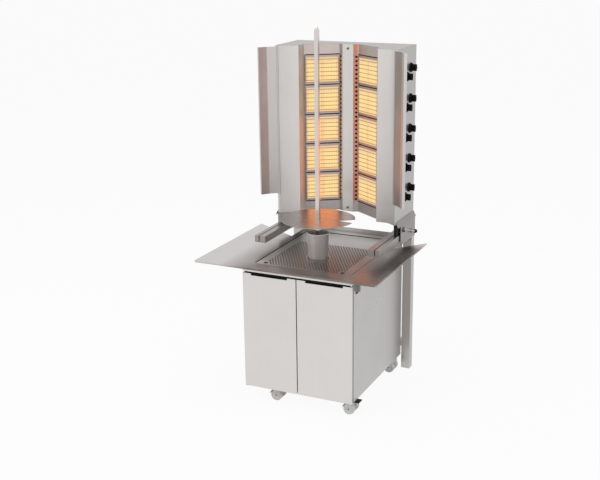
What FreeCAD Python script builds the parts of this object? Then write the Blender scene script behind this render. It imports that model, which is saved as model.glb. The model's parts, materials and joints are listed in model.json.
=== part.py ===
import FreeCAD, Part
import math
import os
from FreeCAD import Vector

os.makedirs("parts", exist_ok=True)

# A free-standing gas doner grill, in millimetres.
# Working axes: x to the right, y to the back, z up from the floor. The spindle stands at x = 0
# and the doors' front face lies at y = 0. Every piece is moved to the base's middle when written.

# Sheet metal and clearances
SHEET = 1.5              # stainless sheet
FLANGE = 18.0            # folded return along a panel's edge
RUN_GAP = 0.5            # air between pieces that move past each other
FIT_GAP = 1.0            # room between parts that are put together
REST_GAP = 0.3           # air under a loose piece that lies on its seat
PIN_PLAY = 0.05          # radial play of a pin in its bore

# Cabinet
CABINET_WIDTH = 600.0
CABINET_DEPTH = 710.0
CABINET_BOTTOM = 80.0    # ground clearance
SHELF_HEIGHT = 519.0     # top of the inner shelf
WORKTOP_HEIGHT = 735.0
RAIL_DEPTH = 20.0        # front rail, front to back
VENT_SLOT = (60.0, 8.0)  # length and height of a slot in the cabinet's back
VENT_SLOT_PITCH = 22.0
VENT_SLOT_ROWS = 5

# Doors
DOOR_TOP = 700.0
DOOR_THICKNESS = 18.0
DOOR_SPLIT = 5.0         # gap between the two doors
DOOR_TO_RAIL = 9.0       # open slot above the doors
DOOR_PIN_RADIUS = 4.0
DOOR_PIN_INSET = 7.0     # hinge axis from the door's outer edge
GRIP_WIDTH = 203.0
GRIP_HEIGHT = 10.0
GRIP_POCKET = 13.0       # how deep the fingers reach in
PIVOT_TAB = (16.0, 3.0)  # width and thickness of the tab under each door
TAB_FRONT = 2.0          # tab's front edge behind the doors' front
DOOR_STANDOFF = 3.0      # doors' back to the cabinet's front edges

# Motor switch on the right side
SWITCH_Y = 66.0
SWITCH_Z = 688.0
DISH_RADIUS = 40.0
DISH_DEPTH = 6.0
SWITCH_KNOB_RADIUS = 24.0
SWITCH_KNOB_HEIGHT = 9.0
SWITCH_BAR = (14.0, 58.0, 14.0)   # width, length and height of the grip
SWITCH_SHAFT_RADIUS = 4.0

# Worktop
WORKTOP_WIDTH = 1000.0
TRAY_RIGHT = 430.0
TRAY_LEFT = TRAY_RIGHT - WORKTOP_WIDTH
TRAY_FRONT = -22.0
WING_BACK = 735.0        # rear outer corners of the side shelves
WING_ROOT = 575.0        # where each shelf's slanted rear edge meets the cabinet
TRAY_BACK = 745.0
TRAY_LIP = 9.0
TRAY_CORNER = 8.0
UPSTAND = 35.0
RECESS_LEFT = -266.0
RECESS_RIGHT = 266.0
RECESS_FRONT = 64.0
RECESS_BACK = 722.0
RECESS_CORNER = 22.0
SEAT = 18.0              # ledge that the loose grid lies on
BASIN_DEPTH = 48.2
BASIN_BACK = 616.0

# Loose perforated grid, flush with the worktop
GRID_EDGE_GAP = 2.0      # at the front and the right
GRID_SLOT_LEFT = 8.0     # open slot left of the grid
GRID_SLOT_BACK = 16.0    # open slot behind it
GRID_CORNER = 18.0
GRID_HOLES_SIDE = 216.0  # reach of the pattern of holes, left and right of the spindle
GRID_HOLES_FRONT = 84.0
GRID_HOLES_BACK = 500.0
GRID_HOLE_RADIUS = 4.5
GRID_PITCH = 22.0
FINGER_HOLE_RADIUS = 12.0
FINGER_HOLE_X = 212.0
FINGER_HOLE_Y = 90.0
GRID_LIFT = 100.0

# Spindle drive
SPINDLE_Y = 270.0
CUP_TOP = 874.0
CUP_TOP_RADIUS = 57.5
CUP_FOOT_RADIUS = 47.5
CUP_WALL = 1.5
CUP_FLOOR = 3.0
BEARING_RADIUS = 24.0
BEARING_HEIGHT = 22.0
SHAFT_RADIUS = 11.0
SHAFT_HOLE_RADIUS = 15.0
HUB_RADIUS = 26.0
HUB_HEIGHT = 52.0
SOCKET_DEPTH = 37.0
SOCKET_PLAY = 0.2
GEARBOX_SIZE = (110.0, 110.0, 90.0)
MOTOR_RADIUS = 43.0
MOTOR_LENGTH = 140.0

# Skewer and meat plate
PLATE_RISE = 59.5        # head's floor to the plate's top
PLATE_THICKNESS = 4.0
PLATE_RADIUS = 190.0
SLIT_WIDTH = 2.0
NOTCH_START = 100.0      # where the slit widens into the notch
NOTCH_FRONT_ANGLE = -3.0
NOTCH_BACK_ANGLE = 18.0
SKEWER_SIDE = 20.0
SKEWER_RISE = 138.0      # how far the point stands above the head
SKEWER_POINT = 34.0

# Rear posts and twin rails
POST_GAP = 4.0           # cabinet side to post
POST_WIDTH = 48.0
POST_DEPTH = 44.0
POST_WALL = 2.5
POST_FOOT = 4.0
DRAIN_RADIUS = 4.0
SADDLE_THICKNESS = 3.0
SADDLE_FRONT = 560.0
RAIL_FRONT = 235.0
RAIL_TOP = 826.0
RAIL_HEIGHT = 36.0
OUTER_RAIL_WIDTH = 22.0
INNER_RAIL_WIDTH = 34.0
TWIN_GAP = 5.0
RAIL_WALL = 2.0
CROSSBAR_HEIGHT = 40.0
CROSSBAR_DEPTH = 30.0
CROSSBAR_LEVELS = (130.0, 600.0)

# Burner head
HEAD_WIDTH = 677.0
HEAD_RISE = 61.0         # rails' top to the head's floor
HEAD_BACK = 769.0
POST_FACE_WIDTH = 62.0   # strip in the middle of the V
POST_FACE_Y = 662.5
POST_FACE_RETURN = 26.0
VENT_STRIP_WIDTH = 22.0
VENT_STRIP_DEPTH = 12.5      # how far the strip falls back from the post
VENT_HOLE_RADIUS = 6.0
VENT_HOLE_SHARE = 0.56       # how far across the strip the holes' middles lie
PANEL_LENGTH = 189.0
PANEL_ANGLE = 34.7
CHEEK_RETURN = (10.5, 45.5)   # step out and step forward, panel to cheek
FACET = (44.0, 29.0)          # step out and step forward of the outer cheek facet
FRONT_FLANGE = 14.0
LOUVRE = (90.0, 10.0)         # length and height of a slot in the head's back
LOUVRE_PITCH = 60.0
LOUVRE_ROWS = 13

# Burners
BURNER_ROWS = 5
BURNER_PITCH = 157.5
BURNERS_FOOT = 58.5            # head's floor to the lowest burner's share of the height
BURNERS_HEAD = 54.0            # topmost burner's share of the height to the head's roof
FRAME_GAP = 6.5                # between one burner frame and the next
BURNER_FRAME = (185.0, BURNER_PITCH - FRAME_GAP)  # outer width and height of the front flange
FRAME_BORDER = 10.5            # above and below the lit opening
BURNER_MOUTH = (172.0, BURNER_FRAME[1] - 2 * FRAME_BORDER)  # lit opening
FRAME_RISE = 3.0
BURNER_SHIFT = 2.0             # burners' middle nearer the post than the panel's middle
CHAMBER_DEPTH = 45.0
CHAMBER_WALL = 2.0
TILE_THICKNESS = 12.0
TILE_SET_BACK = 2.0
GUARD_WIRE_RADIUS = 1.4
GUARD_WIRES = 6
GUARD_BAR = 4.0                # thickness of the guard's upright bars

# Gas train
KNOB_REAR = (688.0, 24.0)      # y, and height above the burner's middle
KNOB_FRONT = (630.0, -16.0)
KNOB_SKIRT_RADIUS = 25.0
KNOB_SKIRT_HEIGHT = 8.0
KNOB_CAP_RADIUS = 15.5
KNOB_CAP_HEIGHT = 22.0
KNOB_RIB = (7.0, 34.0)         # width and length of the pointer rib
KNOB_HUB_RADIUS = 5.0
KNOB_HUB_LENGTH = 15.0
VALVE_SIZE = (30.0, 24.0, 24.0)
PIPE_RADIUS = 9.0
PIPE_TOP_REACH = 30.0
INLET_HEIGHT = 950.0
INLET_RADIUS = 10.5
INLET_REACH = 26.0

# Wind wings on the head's front corners
WING_FOOT_GAP = 111.0          # head's floor to the wing's foot
WING_HEAD_GAP = 6.0            # wing's top to the head's roof
WING_INNER = 54.0              # length of the inner leaf
WING_INNER_ANGLE = 37.0
WING_OUTER = 48.0
WING_OUTER_ANGLE = 53.0
WING_HEM = 17.0                # flange folded back along the free edge
WING_HEM_ANGLE = -42.0
KNUCKLE_RADIUS = 4.5
WING_PIN_RADIUS = 2.5
WING_AXIS = (1.0, 5.5)         # out and forward of the cheek's outer fold
WING_TAB = 3.0

# Carriage that carries the head along the rails
BEAM_FRONT = 500.0
BEAM_BACK = 755.0
PLATE_FRONT = 530.0
PLATE_DROP = 56.0              # how far the side plate hangs below the rails' top
PLATE_SHEET = 2.0
SKIRT_HEIGHT = 14.0            # how far the skirt covers the head's sides
SKIRT_DROP = 15.0              # how far it hangs below the head
GLIDE_LENGTH = 30.0
LINER_THICKNESS = 3.7
LEVER_RISE = 20.0              # pivot above the rails' top
LEVER_DROP = 26.0              # ball's middle below the rails' top
LEVER_PIVOT = (575.0, RAIL_TOP + LEVER_RISE)   # y and z
LEVER_END = (722.0, RAIL_TOP - LEVER_DROP)
LEVER_BALL_GAP = 2.0           # side plate's lever boss to the ball
BEAM_GAP = 1.0                 # beam's foot above the rails
BEAM_OVERHANG = 1.0            # beam's web inside the outer rail's inner face
LEVER_BOSS_RADIUS = 13.0
LEVER_PIN_RADIUS = 6.0
LEVER_ROD_RADIUS = 4.5
LEVER_BALL_RADIUS = 11.0

# Twin-wheel casters
CASTER_RIGHT_X = 243.0
CASTER_LEFT_X = -167.0
CASTER_FRONT_Y = 80.0
CASTER_REAR_Y = 650.0
WHEEL_RADIUS = 30.0
WHEEL_WIDTH = 25.0
WHEEL_TRAIL = 22.0
WHEEL_ROUND = 4.0
FORK_WIDTH = 24.0
AXLE_RADIUS = 4.0
STEM_RADIUS = 6.0
STEM_RISE = 8.0
TURRET_RADIUS = 20.0
FENDER_GAP = 3.0
FENDER_WALL = 3.0
PEDAL_LENGTH = 27.0
PEDAL_WIDTH = 44.0
PEDAL_SHEET = 4.0
PEDAL_PIN_RADIUS = 2.5

# Cable gland in the cabinet's back
GLAND_X = -200.0
GLAND_Z = 230.0
GLAND_BORE = 4.2
GLAND_THREAD = 8.0
GLAND_NUT = 12.0
GLAND_REACH = 22.0

# Places that follow from the sizes above
HEAD_BOTTOM = RAIL_TOP + HEAD_RISE
BURNER_TOP = HEAD_BOTTOM + BURNERS_FOOT + BURNER_ROWS * BURNER_PITCH
HEAD_TOP = BURNER_TOP + BURNERS_HEAD
PLATE_TOP = HEAD_BOTTOM + PLATE_RISE
SKEWER_TIP = HEAD_TOP + SKEWER_RISE
WING_BOTTOM = HEAD_BOTTOM + WING_FOOT_GAP
WING_TOP = HEAD_TOP - WING_HEAD_GAP
PLATE_BOTTOM = RAIL_TOP - PLATE_DROP
HALF_CABINET = CABINET_WIDTH / 2
PANEL_FRONT = DOOR_THICKNESS + DOOR_STANDOFF
DECK_BOTTOM = CABINET_BOTTOM + SHEET
TRAY_UNDER = WORKTOP_HEIGHT - SHEET
SEAT_TOP = WORKTOP_HEIGHT - SHEET - REST_GAP
SEAT_UNDER = SEAT_TOP - SHEET
BASIN_FLOOR = SEAT_UNDER - BASIN_DEPTH
RAIL_BOTTOM = DOOR_TOP + DOOR_TO_RAIL
POST_X = HALF_CABINET + POST_GAP
POST_Y = CABINET_DEPTH + FIT_GAP
SIDE_PLATE_X = POST_X + POST_WIDTH + FIT_GAP
OUTER_RAIL_X = SIDE_PLATE_X - LINER_THICKNESS - REST_GAP - OUTER_RAIL_WIDTH
INNER_RAIL_X = OUTER_RAIL_X - TWIN_GAP - INNER_RAIL_WIDTH
HALF_HEAD = HEAD_WIDTH / 2
HUB_TOP = PLATE_TOP - PLATE_THICKNESS - REST_GAP
LEVER_X = SIDE_PLATE_X + PLATE_SHEET + RUN_GAP
KNOB_X = HALF_HEAD + RUN_GAP
BASE_MIDDLE = Vector((TRAY_LEFT + TRAY_RIGHT) / 2, (TRAY_FRONT + HEAD_BACK + INLET_REACH) / 2, 0)

UP = Vector(0, 0, 1)
RIGHT = Vector(1, 0, 0)
BACK = Vector(0, 1, 0)
ORIGIN = Vector(0, 0, 0)


def box(x0, x1, y0, y1, z0, z1):
    return Part.makeBox(x1 - x0, y1 - y0, z1 - z0, Vector(x0, y0, z0))


def rod(start, end, radius):
    return Part.makeCylinder(radius, (end - start).Length, start, end - start)


def prism(points, bottom, top):
    corners = [Vector(x, y, bottom) for x, y in points]
    wire = Part.makePolygon(corners + corners[:1])
    return Part.Face(wire).extrude(Vector(0, 0, top - bottom))


def bar_along_y(points, front, back):
    """A bar with its section in the x-z plane."""
    corners = [Vector(x, front, z) for x, z in points]
    wire = Part.makePolygon(corners + corners[:1])
    return Part.Face(wire).extrude(Vector(0, back - front, 0))


def rounded_box(x0, x1, y0, y1, z0, z1, radius):
    block = box(x0, x1, y0, y1, z0, z1)
    upright = [edge for edge in block.Edges if abs(edge.tangentAt(edge.FirstParameter).z) > 0.9]
    return block.makeFillet(radius, upright)


def fuse(first, *others):
    return first.multiFuse(list(others)).removeSplitter()


def drill(shape, *tools):
    return shape.cut(Part.makeCompound(list(tools)))


def mirrored(shape):
    return shape.mirror(ORIGIN, RIGHT)


def unit(start, end):
    length = math.hypot(end[0] - start[0], end[1] - start[1])
    return (end[0] - start[0]) / length, (end[1] - start[1]) / length


def step(start, length, angle):
    """The point at a distance from start, at an angle turned from +x towards -y."""
    turn = math.radians(angle)
    return start[0] + length * math.cos(turn), start[1] - length * math.sin(turn)


def offset_path(points, distance):
    """The path moved to its left by a distance, with mitred corners."""
    moved = []
    last = len(points) - 1
    for index, (x, y) in enumerate(points):
        after = unit(points[min(index, last - 1)], points[min(index, last - 1) + 1])
        before = unit(points[max(index - 1, 0)], points[max(index - 1, 0) + 1])
        normal_x = -before[1] - after[1]
        normal_y = before[0] + after[0]
        scale = distance / (1 + before[0] * after[0] + before[1] * after[1])
        moved.append((x + normal_x * scale, y + normal_y * scale))
    return moved


def folded_sheet(points, bottom, top):
    """An upright sheet along a path, its thickness on the path's left."""
    return prism(points + offset_path(points, SHEET)[::-1], bottom, top)


def write(name, shape):
    placed = shape.copy()
    placed.translate(-BASE_MIDDLE)
    placed.exportStep("parts/" + name + ".step")


# The plan of the head's front, right half, from the middle outwards
STRIP_START = (POST_FACE_WIDTH / 2 + FIT_GAP, POST_FACE_Y + SHEET)
PANEL_START = (STRIP_START[0] + VENT_STRIP_WIDTH, STRIP_START[1] + VENT_STRIP_DEPTH)
PANEL_END = step(PANEL_START, PANEL_LENGTH, PANEL_ANGLE)
CHEEK_START = (PANEL_END[0] + CHEEK_RETURN[0], PANEL_END[1] - CHEEK_RETURN[1])
FACET_END = (HALF_HEAD - FRONT_FLANGE, CHEEK_START[1] - FACET[1])
FACET_START = (FACET_END[0] - FACET[0], CHEEK_START[1])
HEAD_CORNER = (HALF_HEAD, FACET_END[1])
PANEL_MIDDLE = step(PANEL_START, PANEL_LENGTH / 2 - BURNER_SHIFT, PANEL_ANGLE)
WING_HINGE = (FACET_END[0] + WING_AXIS[0], FACET_END[1] - WING_AXIS[1])


def burner_height(row):
    return BURNER_TOP - (row + 0.5) * BURNER_PITCH


# Cabinet


def switch_dish():
    bottom = HALF_CABINET - DISH_DEPTH
    centre = Vector(bottom, SWITCH_Y, SWITCH_Z)
    outside = rod(centre - RIGHT * SHEET, centre + RIGHT * DISH_DEPTH, DISH_RADIUS + SHEET)
    inside = rod(centre, centre + RIGHT * (DISH_DEPTH + 1), DISH_RADIUS)
    bore = rod(centre - RIGHT * 2 * SHEET, centre + RIGHT, SWITCH_SHAFT_RADIUS + PIN_PLAY)
    return outside, inside, bore


def cabinet_side():
    sheet = box(HALF_CABINET - SHEET, HALF_CABINET, PANEL_FRONT, CABINET_DEPTH, CABINET_BOTTOM, TRAY_UNDER)
    inner = HALF_CABINET - FLANGE
    front = box(inner, HALF_CABINET, PANEL_FRONT, PANEL_FRONT + SHEET, CABINET_BOTTOM, TRAY_UNDER)
    foot = box(inner, HALF_CABINET, PANEL_FRONT, CABINET_DEPTH - SHEET, CABINET_BOTTOM, DECK_BOTTOM)
    head = box(inner, HALF_CABINET, PANEL_FRONT, CABINET_DEPTH - SHEET, TRAY_UNDER - SHEET, TRAY_UNDER)
    return fuse(sheet, front, foot, head)


def cabinet_side_right():
    outside, inside, bore = switch_dish()
    return fuse(cabinet_side(), outside).cut(inside).cut(bore)


def cabinet_back():
    y1 = CABINET_DEPTH
    half = HALF_CABINET - SHEET
    sheet = box(-half, half, y1 - SHEET, y1, CABINET_BOTTOM, SEAT_UNDER)
    length, height = VENT_SLOT
    slots = []
    for row in range(VENT_SLOT_ROWS):
        z0 = SHELF_HEIGHT - (row + 1) * VENT_SLOT_PITCH
        for middle in (-half / 2, half / 2):
            x0 = middle - length / 2
            slots.append(box(x0, x0 + length, y1 - 2 * SHEET, y1 + 1, z0, z0 + height))
    gland = Vector(GLAND_X, y1, GLAND_Z)
    gland_hole = rod(gland - BACK * 2 * SHEET, gland + BACK, GLAND_THREAD)
    return drill(sheet, gland_hole, *slots)


def deck(z0, front):
    half = HALF_CABINET - SHEET
    sheet = box(-half, half, front, CABINET_DEPTH - SHEET, z0, z0 + SHEET)
    lip = box(-half + FLANGE, half - FLANGE, front, front + SHEET, z0, z0 + FLANGE)
    return fuse(sheet, lip)


def door_pivot():
    return HALF_CABINET - DOOR_PIN_INSET, DOOR_THICKNESS / 2


def cabinet_decks():
    """The floor and the shelf, two loose pans."""
    floor = deck(DECK_BOTTOM, PANEL_FRONT + SHEET)
    stems = []
    for x, y in caster_places().values():
        at = Vector(x, y, DECK_BOTTOM)
        stems.append(rod(at - UP, at + UP * FLANGE, STEM_RADIUS + PIN_PLAY))
    shelf = deck(SHELF_HEIGHT - SHEET, PANEL_FRONT + 2 * FLANGE)
    return Part.makeCompound([drill(floor, *stems), shelf])


def front_rail():
    outside = box(-HALF_CABINET, HALF_CABINET, 0, RAIL_DEPTH, RAIL_BOTTOM, TRAY_UNDER)
    inside = box(-HALF_CABINET + SHEET, HALF_CABINET - SHEET, SHEET, RAIL_DEPTH + 1, RAIL_BOTTOM + SHEET,
                 TRAY_UNDER - SHEET)
    holes = []
    pivot_x, pivot_y = door_pivot()
    for side in (-1, 1):
        at = Vector(side * pivot_x, pivot_y, RAIL_BOTTOM)
        holes.append(rod(at - UP, at + UP * 2 * SHEET, DOOR_PIN_RADIUS + PIN_PLAY))
    return drill(outside, inside, *holes)


def door():
    """The right door: a folded pan with a finger pocket in its top edge and a stub at each hinge end."""
    x0, x1 = DOOR_SPLIT / 2, HALF_CABINET
    pan = box(x0, x1, 0, DOOR_THICKNESS, CABINET_BOTTOM, DOOR_TOP)
    hollow = box(x0 + SHEET, x1 - SHEET, SHEET, DOOR_THICKNESS + 1, CABINET_BOTTOM + SHEET, DOOR_TOP - SHEET)
    middle = (x0 + x1) / 2
    g0, g1 = middle - GRIP_WIDTH / 2, middle + GRIP_WIDTH / 2
    pocket_floor = DOOR_TOP - GRIP_HEIGHT - FLANGE
    shell = box(g0 - SHEET, g1 + SHEET, 0, GRIP_POCKET + SHEET, pocket_floor - SHEET, DOOR_TOP)
    mouth = box(g0, g1, -1, SHEET + 1, DOOR_TOP - GRIP_HEIGHT, DOOR_TOP + 1)
    pocket = box(g0, g1, SHEET, GRIP_POCKET, pocket_floor, DOOR_TOP + 1)
    body = fuse(pan.cut(hollow), shell).cut(mouth).cut(pocket)
    pivot_x, pivot_y = door_pivot()
    axis = Vector(pivot_x, pivot_y, 0)
    top = rod(axis + UP * (DOOR_TOP - SHEET), axis + UP * (RAIL_BOTTOM + 3 * SHEET), DOOR_PIN_RADIUS)
    foot_start = CABINET_BOTTOM - 3 * SHEET
    foot = rod(axis + UP * foot_start, axis + UP * (CABINET_BOTTOM + SHEET), DOOR_PIN_RADIUS)
    return fuse(body, top, foot)


def door_tab():
    """The tab that carries the right door's lower stub, hung from the side panel's foot."""
    width, thickness = PIVOT_TAB
    x, y = door_pivot()
    top = CABINET_BOTTOM - RUN_GAP
    inner = HALF_CABINET - width
    tongue = box(inner, HALF_CABINET, TAB_FRONT, PANEL_FRONT + FLANGE, top - thickness, top)
    weld = box(inner, HALF_CABINET, PANEL_FRONT, PANEL_FRONT + FLANGE, top - thickness, CABINET_BOTTOM)
    hole = rod(Vector(x, y, top - 2 * thickness), Vector(x, y, top + 1), DOOR_PIN_RADIUS + PIN_PLAY)
    return fuse(tongue, weld).cut(hole)


def switch_handle():
    face = HALF_CABINET - DISH_DEPTH + RUN_GAP
    centre = Vector(face, SWITCH_Y, SWITCH_Z)
    width, length, height = SWITCH_BAR
    disc = rod(centre, centre + RIGHT * SWITCH_KNOB_HEIGHT, SWITCH_KNOB_RADIUS)
    bar = box(face, face + SWITCH_KNOB_HEIGHT + height, SWITCH_Y - width / 2, SWITCH_Y + width / 2,
              SWITCH_Z - length / 2, SWITCH_Z + length / 2)
    shaft = rod(centre - RIGHT * FLANGE, centre, SWITCH_SHAFT_RADIUS)
    return fuse(disc, bar, shaft)


def cable_gland():
    wall = CABINET_DEPTH
    at = Vector(GLAND_X, wall, GLAND_Z)
    thread = rod(at - BACK * FLANGE / 2, at, GLAND_THREAD)
    nut = rod(at, at + BACK * GLAND_REACH / 3, GLAND_NUT)
    dome = Part.makeCone(GLAND_NUT, GLAND_THREAD, GLAND_REACH * 2 / 3, at + BACK * GLAND_REACH / 3, BACK)
    bore = rod(at - BACK * FLANGE, at + BACK * (GLAND_REACH + 1), GLAND_BORE)
    return fuse(thread, nut, dome).cut(bore)


# Worktop, basin and grid


def worktop_outline():
    half = HALF_CABINET
    return [(TRAY_LEFT, TRAY_FRONT), (TRAY_RIGHT, TRAY_FRONT), (TRAY_RIGHT, WING_BACK), (half, WING_ROOT),
            (half, TRAY_BACK), (-half, TRAY_BACK), (-half, WING_ROOT), (TRAY_LEFT, WING_BACK)]


def front_corners(shape):
    """The upright edges at the worktop's two front corners."""
    found = []
    for edge in shape.Edges:
        start, end = edge.Vertexes[0].Point, edge.Vertexes[-1].Point
        if abs(start.x - end.x) < 0.01 and abs(start.y - end.y) < 0.01 and start.y < TRAY_FRONT + 0.01:
            found.append(edge)
    return found


def worktop():
    lip_bottom = WORKTOP_HEIGHT - TRAY_LIP
    outline = worktop_outline()
    outer = prism(outline, lip_bottom, WORKTOP_HEIGHT)
    outer = outer.makeFillet(TRAY_CORNER, front_corners(outer))
    hollow = prism(offset_path(outline + outline[:1], SHEET)[:-1], lip_bottom - 1, TRAY_UNDER)
    x0, x1 = TRAY_LEFT + SHEET, TRAY_RIGHT - SHEET
    hollow = hollow.common(box(x0, x1, TRAY_FRONT + SHEET, TRAY_BACK, 0, TRAY_UNDER))
    clear = box(-HALF_CABINET, HALF_CABINET, 0, TRAY_BACK + 1, lip_bottom - 1, TRAY_UNDER)
    top = outer.cut(hollow).cut(clear)
    half = HALF_CABINET
    upstand = box(-half, half, TRAY_BACK - SHEET, TRAY_BACK, TRAY_UNDER, WORKTOP_HEIGHT + UPSTAND)
    tub = rounded_box(RECESS_LEFT - SHEET, RECESS_RIGHT + SHEET, RECESS_FRONT - SHEET, RECESS_BACK + SHEET,
                      SEAT_UNDER, WORKTOP_HEIGHT, RECESS_CORNER + SHEET)
    recess = rounded_box(RECESS_LEFT, RECESS_RIGHT, RECESS_FRONT, RECESS_BACK, SEAT_TOP, WORKTOP_HEIGHT + 1,
                         RECESS_CORNER)
    opening = rounded_box(RECESS_LEFT + SEAT, RECESS_RIGHT - SEAT, RECESS_FRONT + SEAT, BASIN_BACK - SEAT / 2,
                          SEAT_UNDER - 1, SEAT_TOP + 1, RECESS_CORNER - SEAT / 2)
    return fuse(top, upstand, tub).cut(recess).cut(opening)


def basin_walls():
    return RECESS_LEFT + SEAT / 2, RECESS_RIGHT - SEAT / 2, RECESS_FRONT + SEAT / 2, BASIN_BACK


def drip_basin():
    x0, x1, y0, y1 = basin_walls()
    outside = rounded_box(x0, x1, y0, y1, BASIN_FLOOR, SEAT_UNDER, RECESS_CORNER)
    inside = rounded_box(x0 + SHEET, x1 - SHEET, y0 + SHEET, y1 - SHEET, BASIN_FLOOR + SHEET, SEAT_UNDER + 1,
                         RECESS_CORNER - SHEET)
    hole = rod(Vector(0, SPINDLE_Y, BASIN_FLOOR - 1), Vector(0, SPINDLE_Y, BASIN_FLOOR + 2 * SHEET),
               SHAFT_HOLE_RADIUS)
    return outside.cut(inside).cut(hole)


def grid_frame():
    left = RECESS_LEFT + GRID_SLOT_LEFT
    return left, RECESS_RIGHT - GRID_EDGE_GAP, RECESS_FRONT + GRID_EDGE_GAP, RECESS_BACK - GRID_SLOT_BACK


def cup_radius(z):
    foot = BASIN_FLOOR + SHEET
    return CUP_FOOT_RADIUS + (CUP_TOP_RADIUS - CUP_FOOT_RADIUS) * (z - foot) / (CUP_TOP - foot)


def perforated_grid():
    x0, x1, y0, y1 = grid_frame()
    z0 = SEAT_TOP + REST_GAP
    sheet = rounded_box(x0, x1, y0, y1, z0, z0 + SHEET, GRID_CORNER)
    passage = cup_radius(z0 + GRID_LIFT) + GRID_EDGE_GAP
    tools = [rod(Vector(0, SPINDLE_Y, z0 - 1), Vector(0, SPINDLE_Y, z0 + 2 * SHEET), passage)]
    fingers = [(-FINGER_HOLE_X, FINGER_HOLE_Y), (FINGER_HOLE_X, FINGER_HOLE_Y)]
    for x, y in fingers:
        tools.append(rod(Vector(x, y, z0 - 1), Vector(x, y, z0 + 2 * SHEET), FINGER_HOLE_RADIUS))
    columns = int(2 * GRID_HOLES_SIDE / GRID_PITCH)
    rows = int((GRID_HOLES_BACK - GRID_HOLES_FRONT) / GRID_PITCH)
    first_x = -columns * GRID_PITCH / 2
    first_y = (GRID_HOLES_FRONT + GRID_HOLES_BACK - rows * GRID_PITCH) / 2
    for column in range(columns + 1):
        for row in range(rows + 1):
            x = first_x + column * GRID_PITCH
            y = first_y + row * GRID_PITCH
            clear_of_cup = math.hypot(x, y - SPINDLE_Y) > passage + GRID_PITCH / 2
            finger_distance = min(math.hypot(x - a, y - b) for a, b in fingers)
            clear_of_fingers = finger_distance > FINGER_HOLE_RADIUS + GRID_PITCH / 2
            if clear_of_cup and clear_of_fingers:
                tools.append(rod(Vector(x, y, z0 - 1), Vector(x, y, z0 + 2 * SHEET), GRID_HOLE_RADIUS))
    return drill(sheet, *tools)


# Spindle drive


def spindle_cup():
    """The open cup round the drive shaft, with the shaft's bearing in its floor."""
    foot = BASIN_FLOOR + SHEET
    bearing_top = foot + CUP_FLOOR + BEARING_HEIGHT
    bore = SHAFT_RADIUS + PIN_PLAY
    floor_radius = cup_radius(foot + CUP_FLOOR) - CUP_WALL
    outside = [(bore, foot), (CUP_FOOT_RADIUS, foot), (CUP_TOP_RADIUS, CUP_TOP)]
    inside = [(CUP_TOP_RADIUS - CUP_WALL, CUP_TOP), (floor_radius, foot + CUP_FLOOR)]
    bearing = [(BEARING_RADIUS, foot + CUP_FLOOR), (BEARING_RADIUS, bearing_top), (bore, bearing_top)]
    corners = [Vector(r, 0, z) for r, z in outside + inside + bearing]
    turned = Part.Face(Part.makePolygon(corners + corners[:1])).revolve(ORIGIN, UP, 360)
    turned.translate(Vector(0, SPINDLE_Y, 0))
    return turned


def gearmotor():
    width, depth, height = GEARBOX_SIZE
    top = BASIN_FLOOR
    case = box(-width / 2, width / 2, SPINDLE_Y - depth / 2, SPINDLE_Y + depth / 2, top - height, top)
    start = Vector(width / 2, SPINDLE_Y, top - height / 2)
    motor = rod(start, start + RIGHT * MOTOR_LENGTH, MOTOR_RADIUS)
    x0 = start.x + MOTOR_LENGTH / 4
    y0 = SPINDLE_Y - MOTOR_RADIUS - FLANGE
    terminal_box = box(x0, x0 + MOTOR_LENGTH / 2, y0, SPINDLE_Y, start.z - FLANGE, start.z + FLANGE)
    middle = Vector(0, SPINDLE_Y, top)
    seat = rod(middle - UP * height * 2 / 3, middle + UP, SHAFT_RADIUS + PIN_PLAY)
    return fuse(case, motor, terminal_box).cut(seat)


def drive_shaft():
    """The driven shaft, with the hub and square socket that turn the skewer."""
    foot = BASIN_FLOOR - GEARBOX_SIZE[2] * 2 / 3 + REST_GAP
    hub_foot = HUB_TOP - HUB_HEIGHT
    shaft = rod(Vector(0, SPINDLE_Y, foot), Vector(0, SPINDLE_Y, hub_foot), SHAFT_RADIUS)
    hub = rod(Vector(0, SPINDLE_Y, hub_foot), Vector(0, SPINDLE_Y, HUB_TOP), HUB_RADIUS)
    half = SKEWER_SIDE / 2 + SOCKET_PLAY
    socket = box(-half, half, SPINDLE_Y - half, SPINDLE_Y + half, HUB_TOP - SOCKET_DEPTH, HUB_TOP + 1)
    return fuse(shaft, hub).cut(socket)


def skewer():
    half = SKEWER_SIDE / 2
    foot = HUB_TOP - SOCKET_DEPTH + REST_GAP
    shoulder = SKEWER_TIP - SKEWER_POINT
    blade = box(-half, half, SPINDLE_Y - half, SPINDLE_Y + half, foot, shoulder)
    signs = ((-1, -1), (1, -1), (1, 1), (-1, 1))
    square = [Vector(a * half, SPINDLE_Y + b * half, shoulder) for a, b in signs]
    tip = Vector(0, SPINDLE_Y, SKEWER_TIP)
    faces = [Part.Face(Part.makePolygon(square + square[:1]))]
    for index in range(4):
        corner, following = square[index], square[(index + 1) % 4]
        faces.append(Part.Face(Part.makePolygon([corner, following, tip, corner])))
    point = Part.makeSolid(Part.makeShell(faces))
    return fuse(blade, point)


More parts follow.
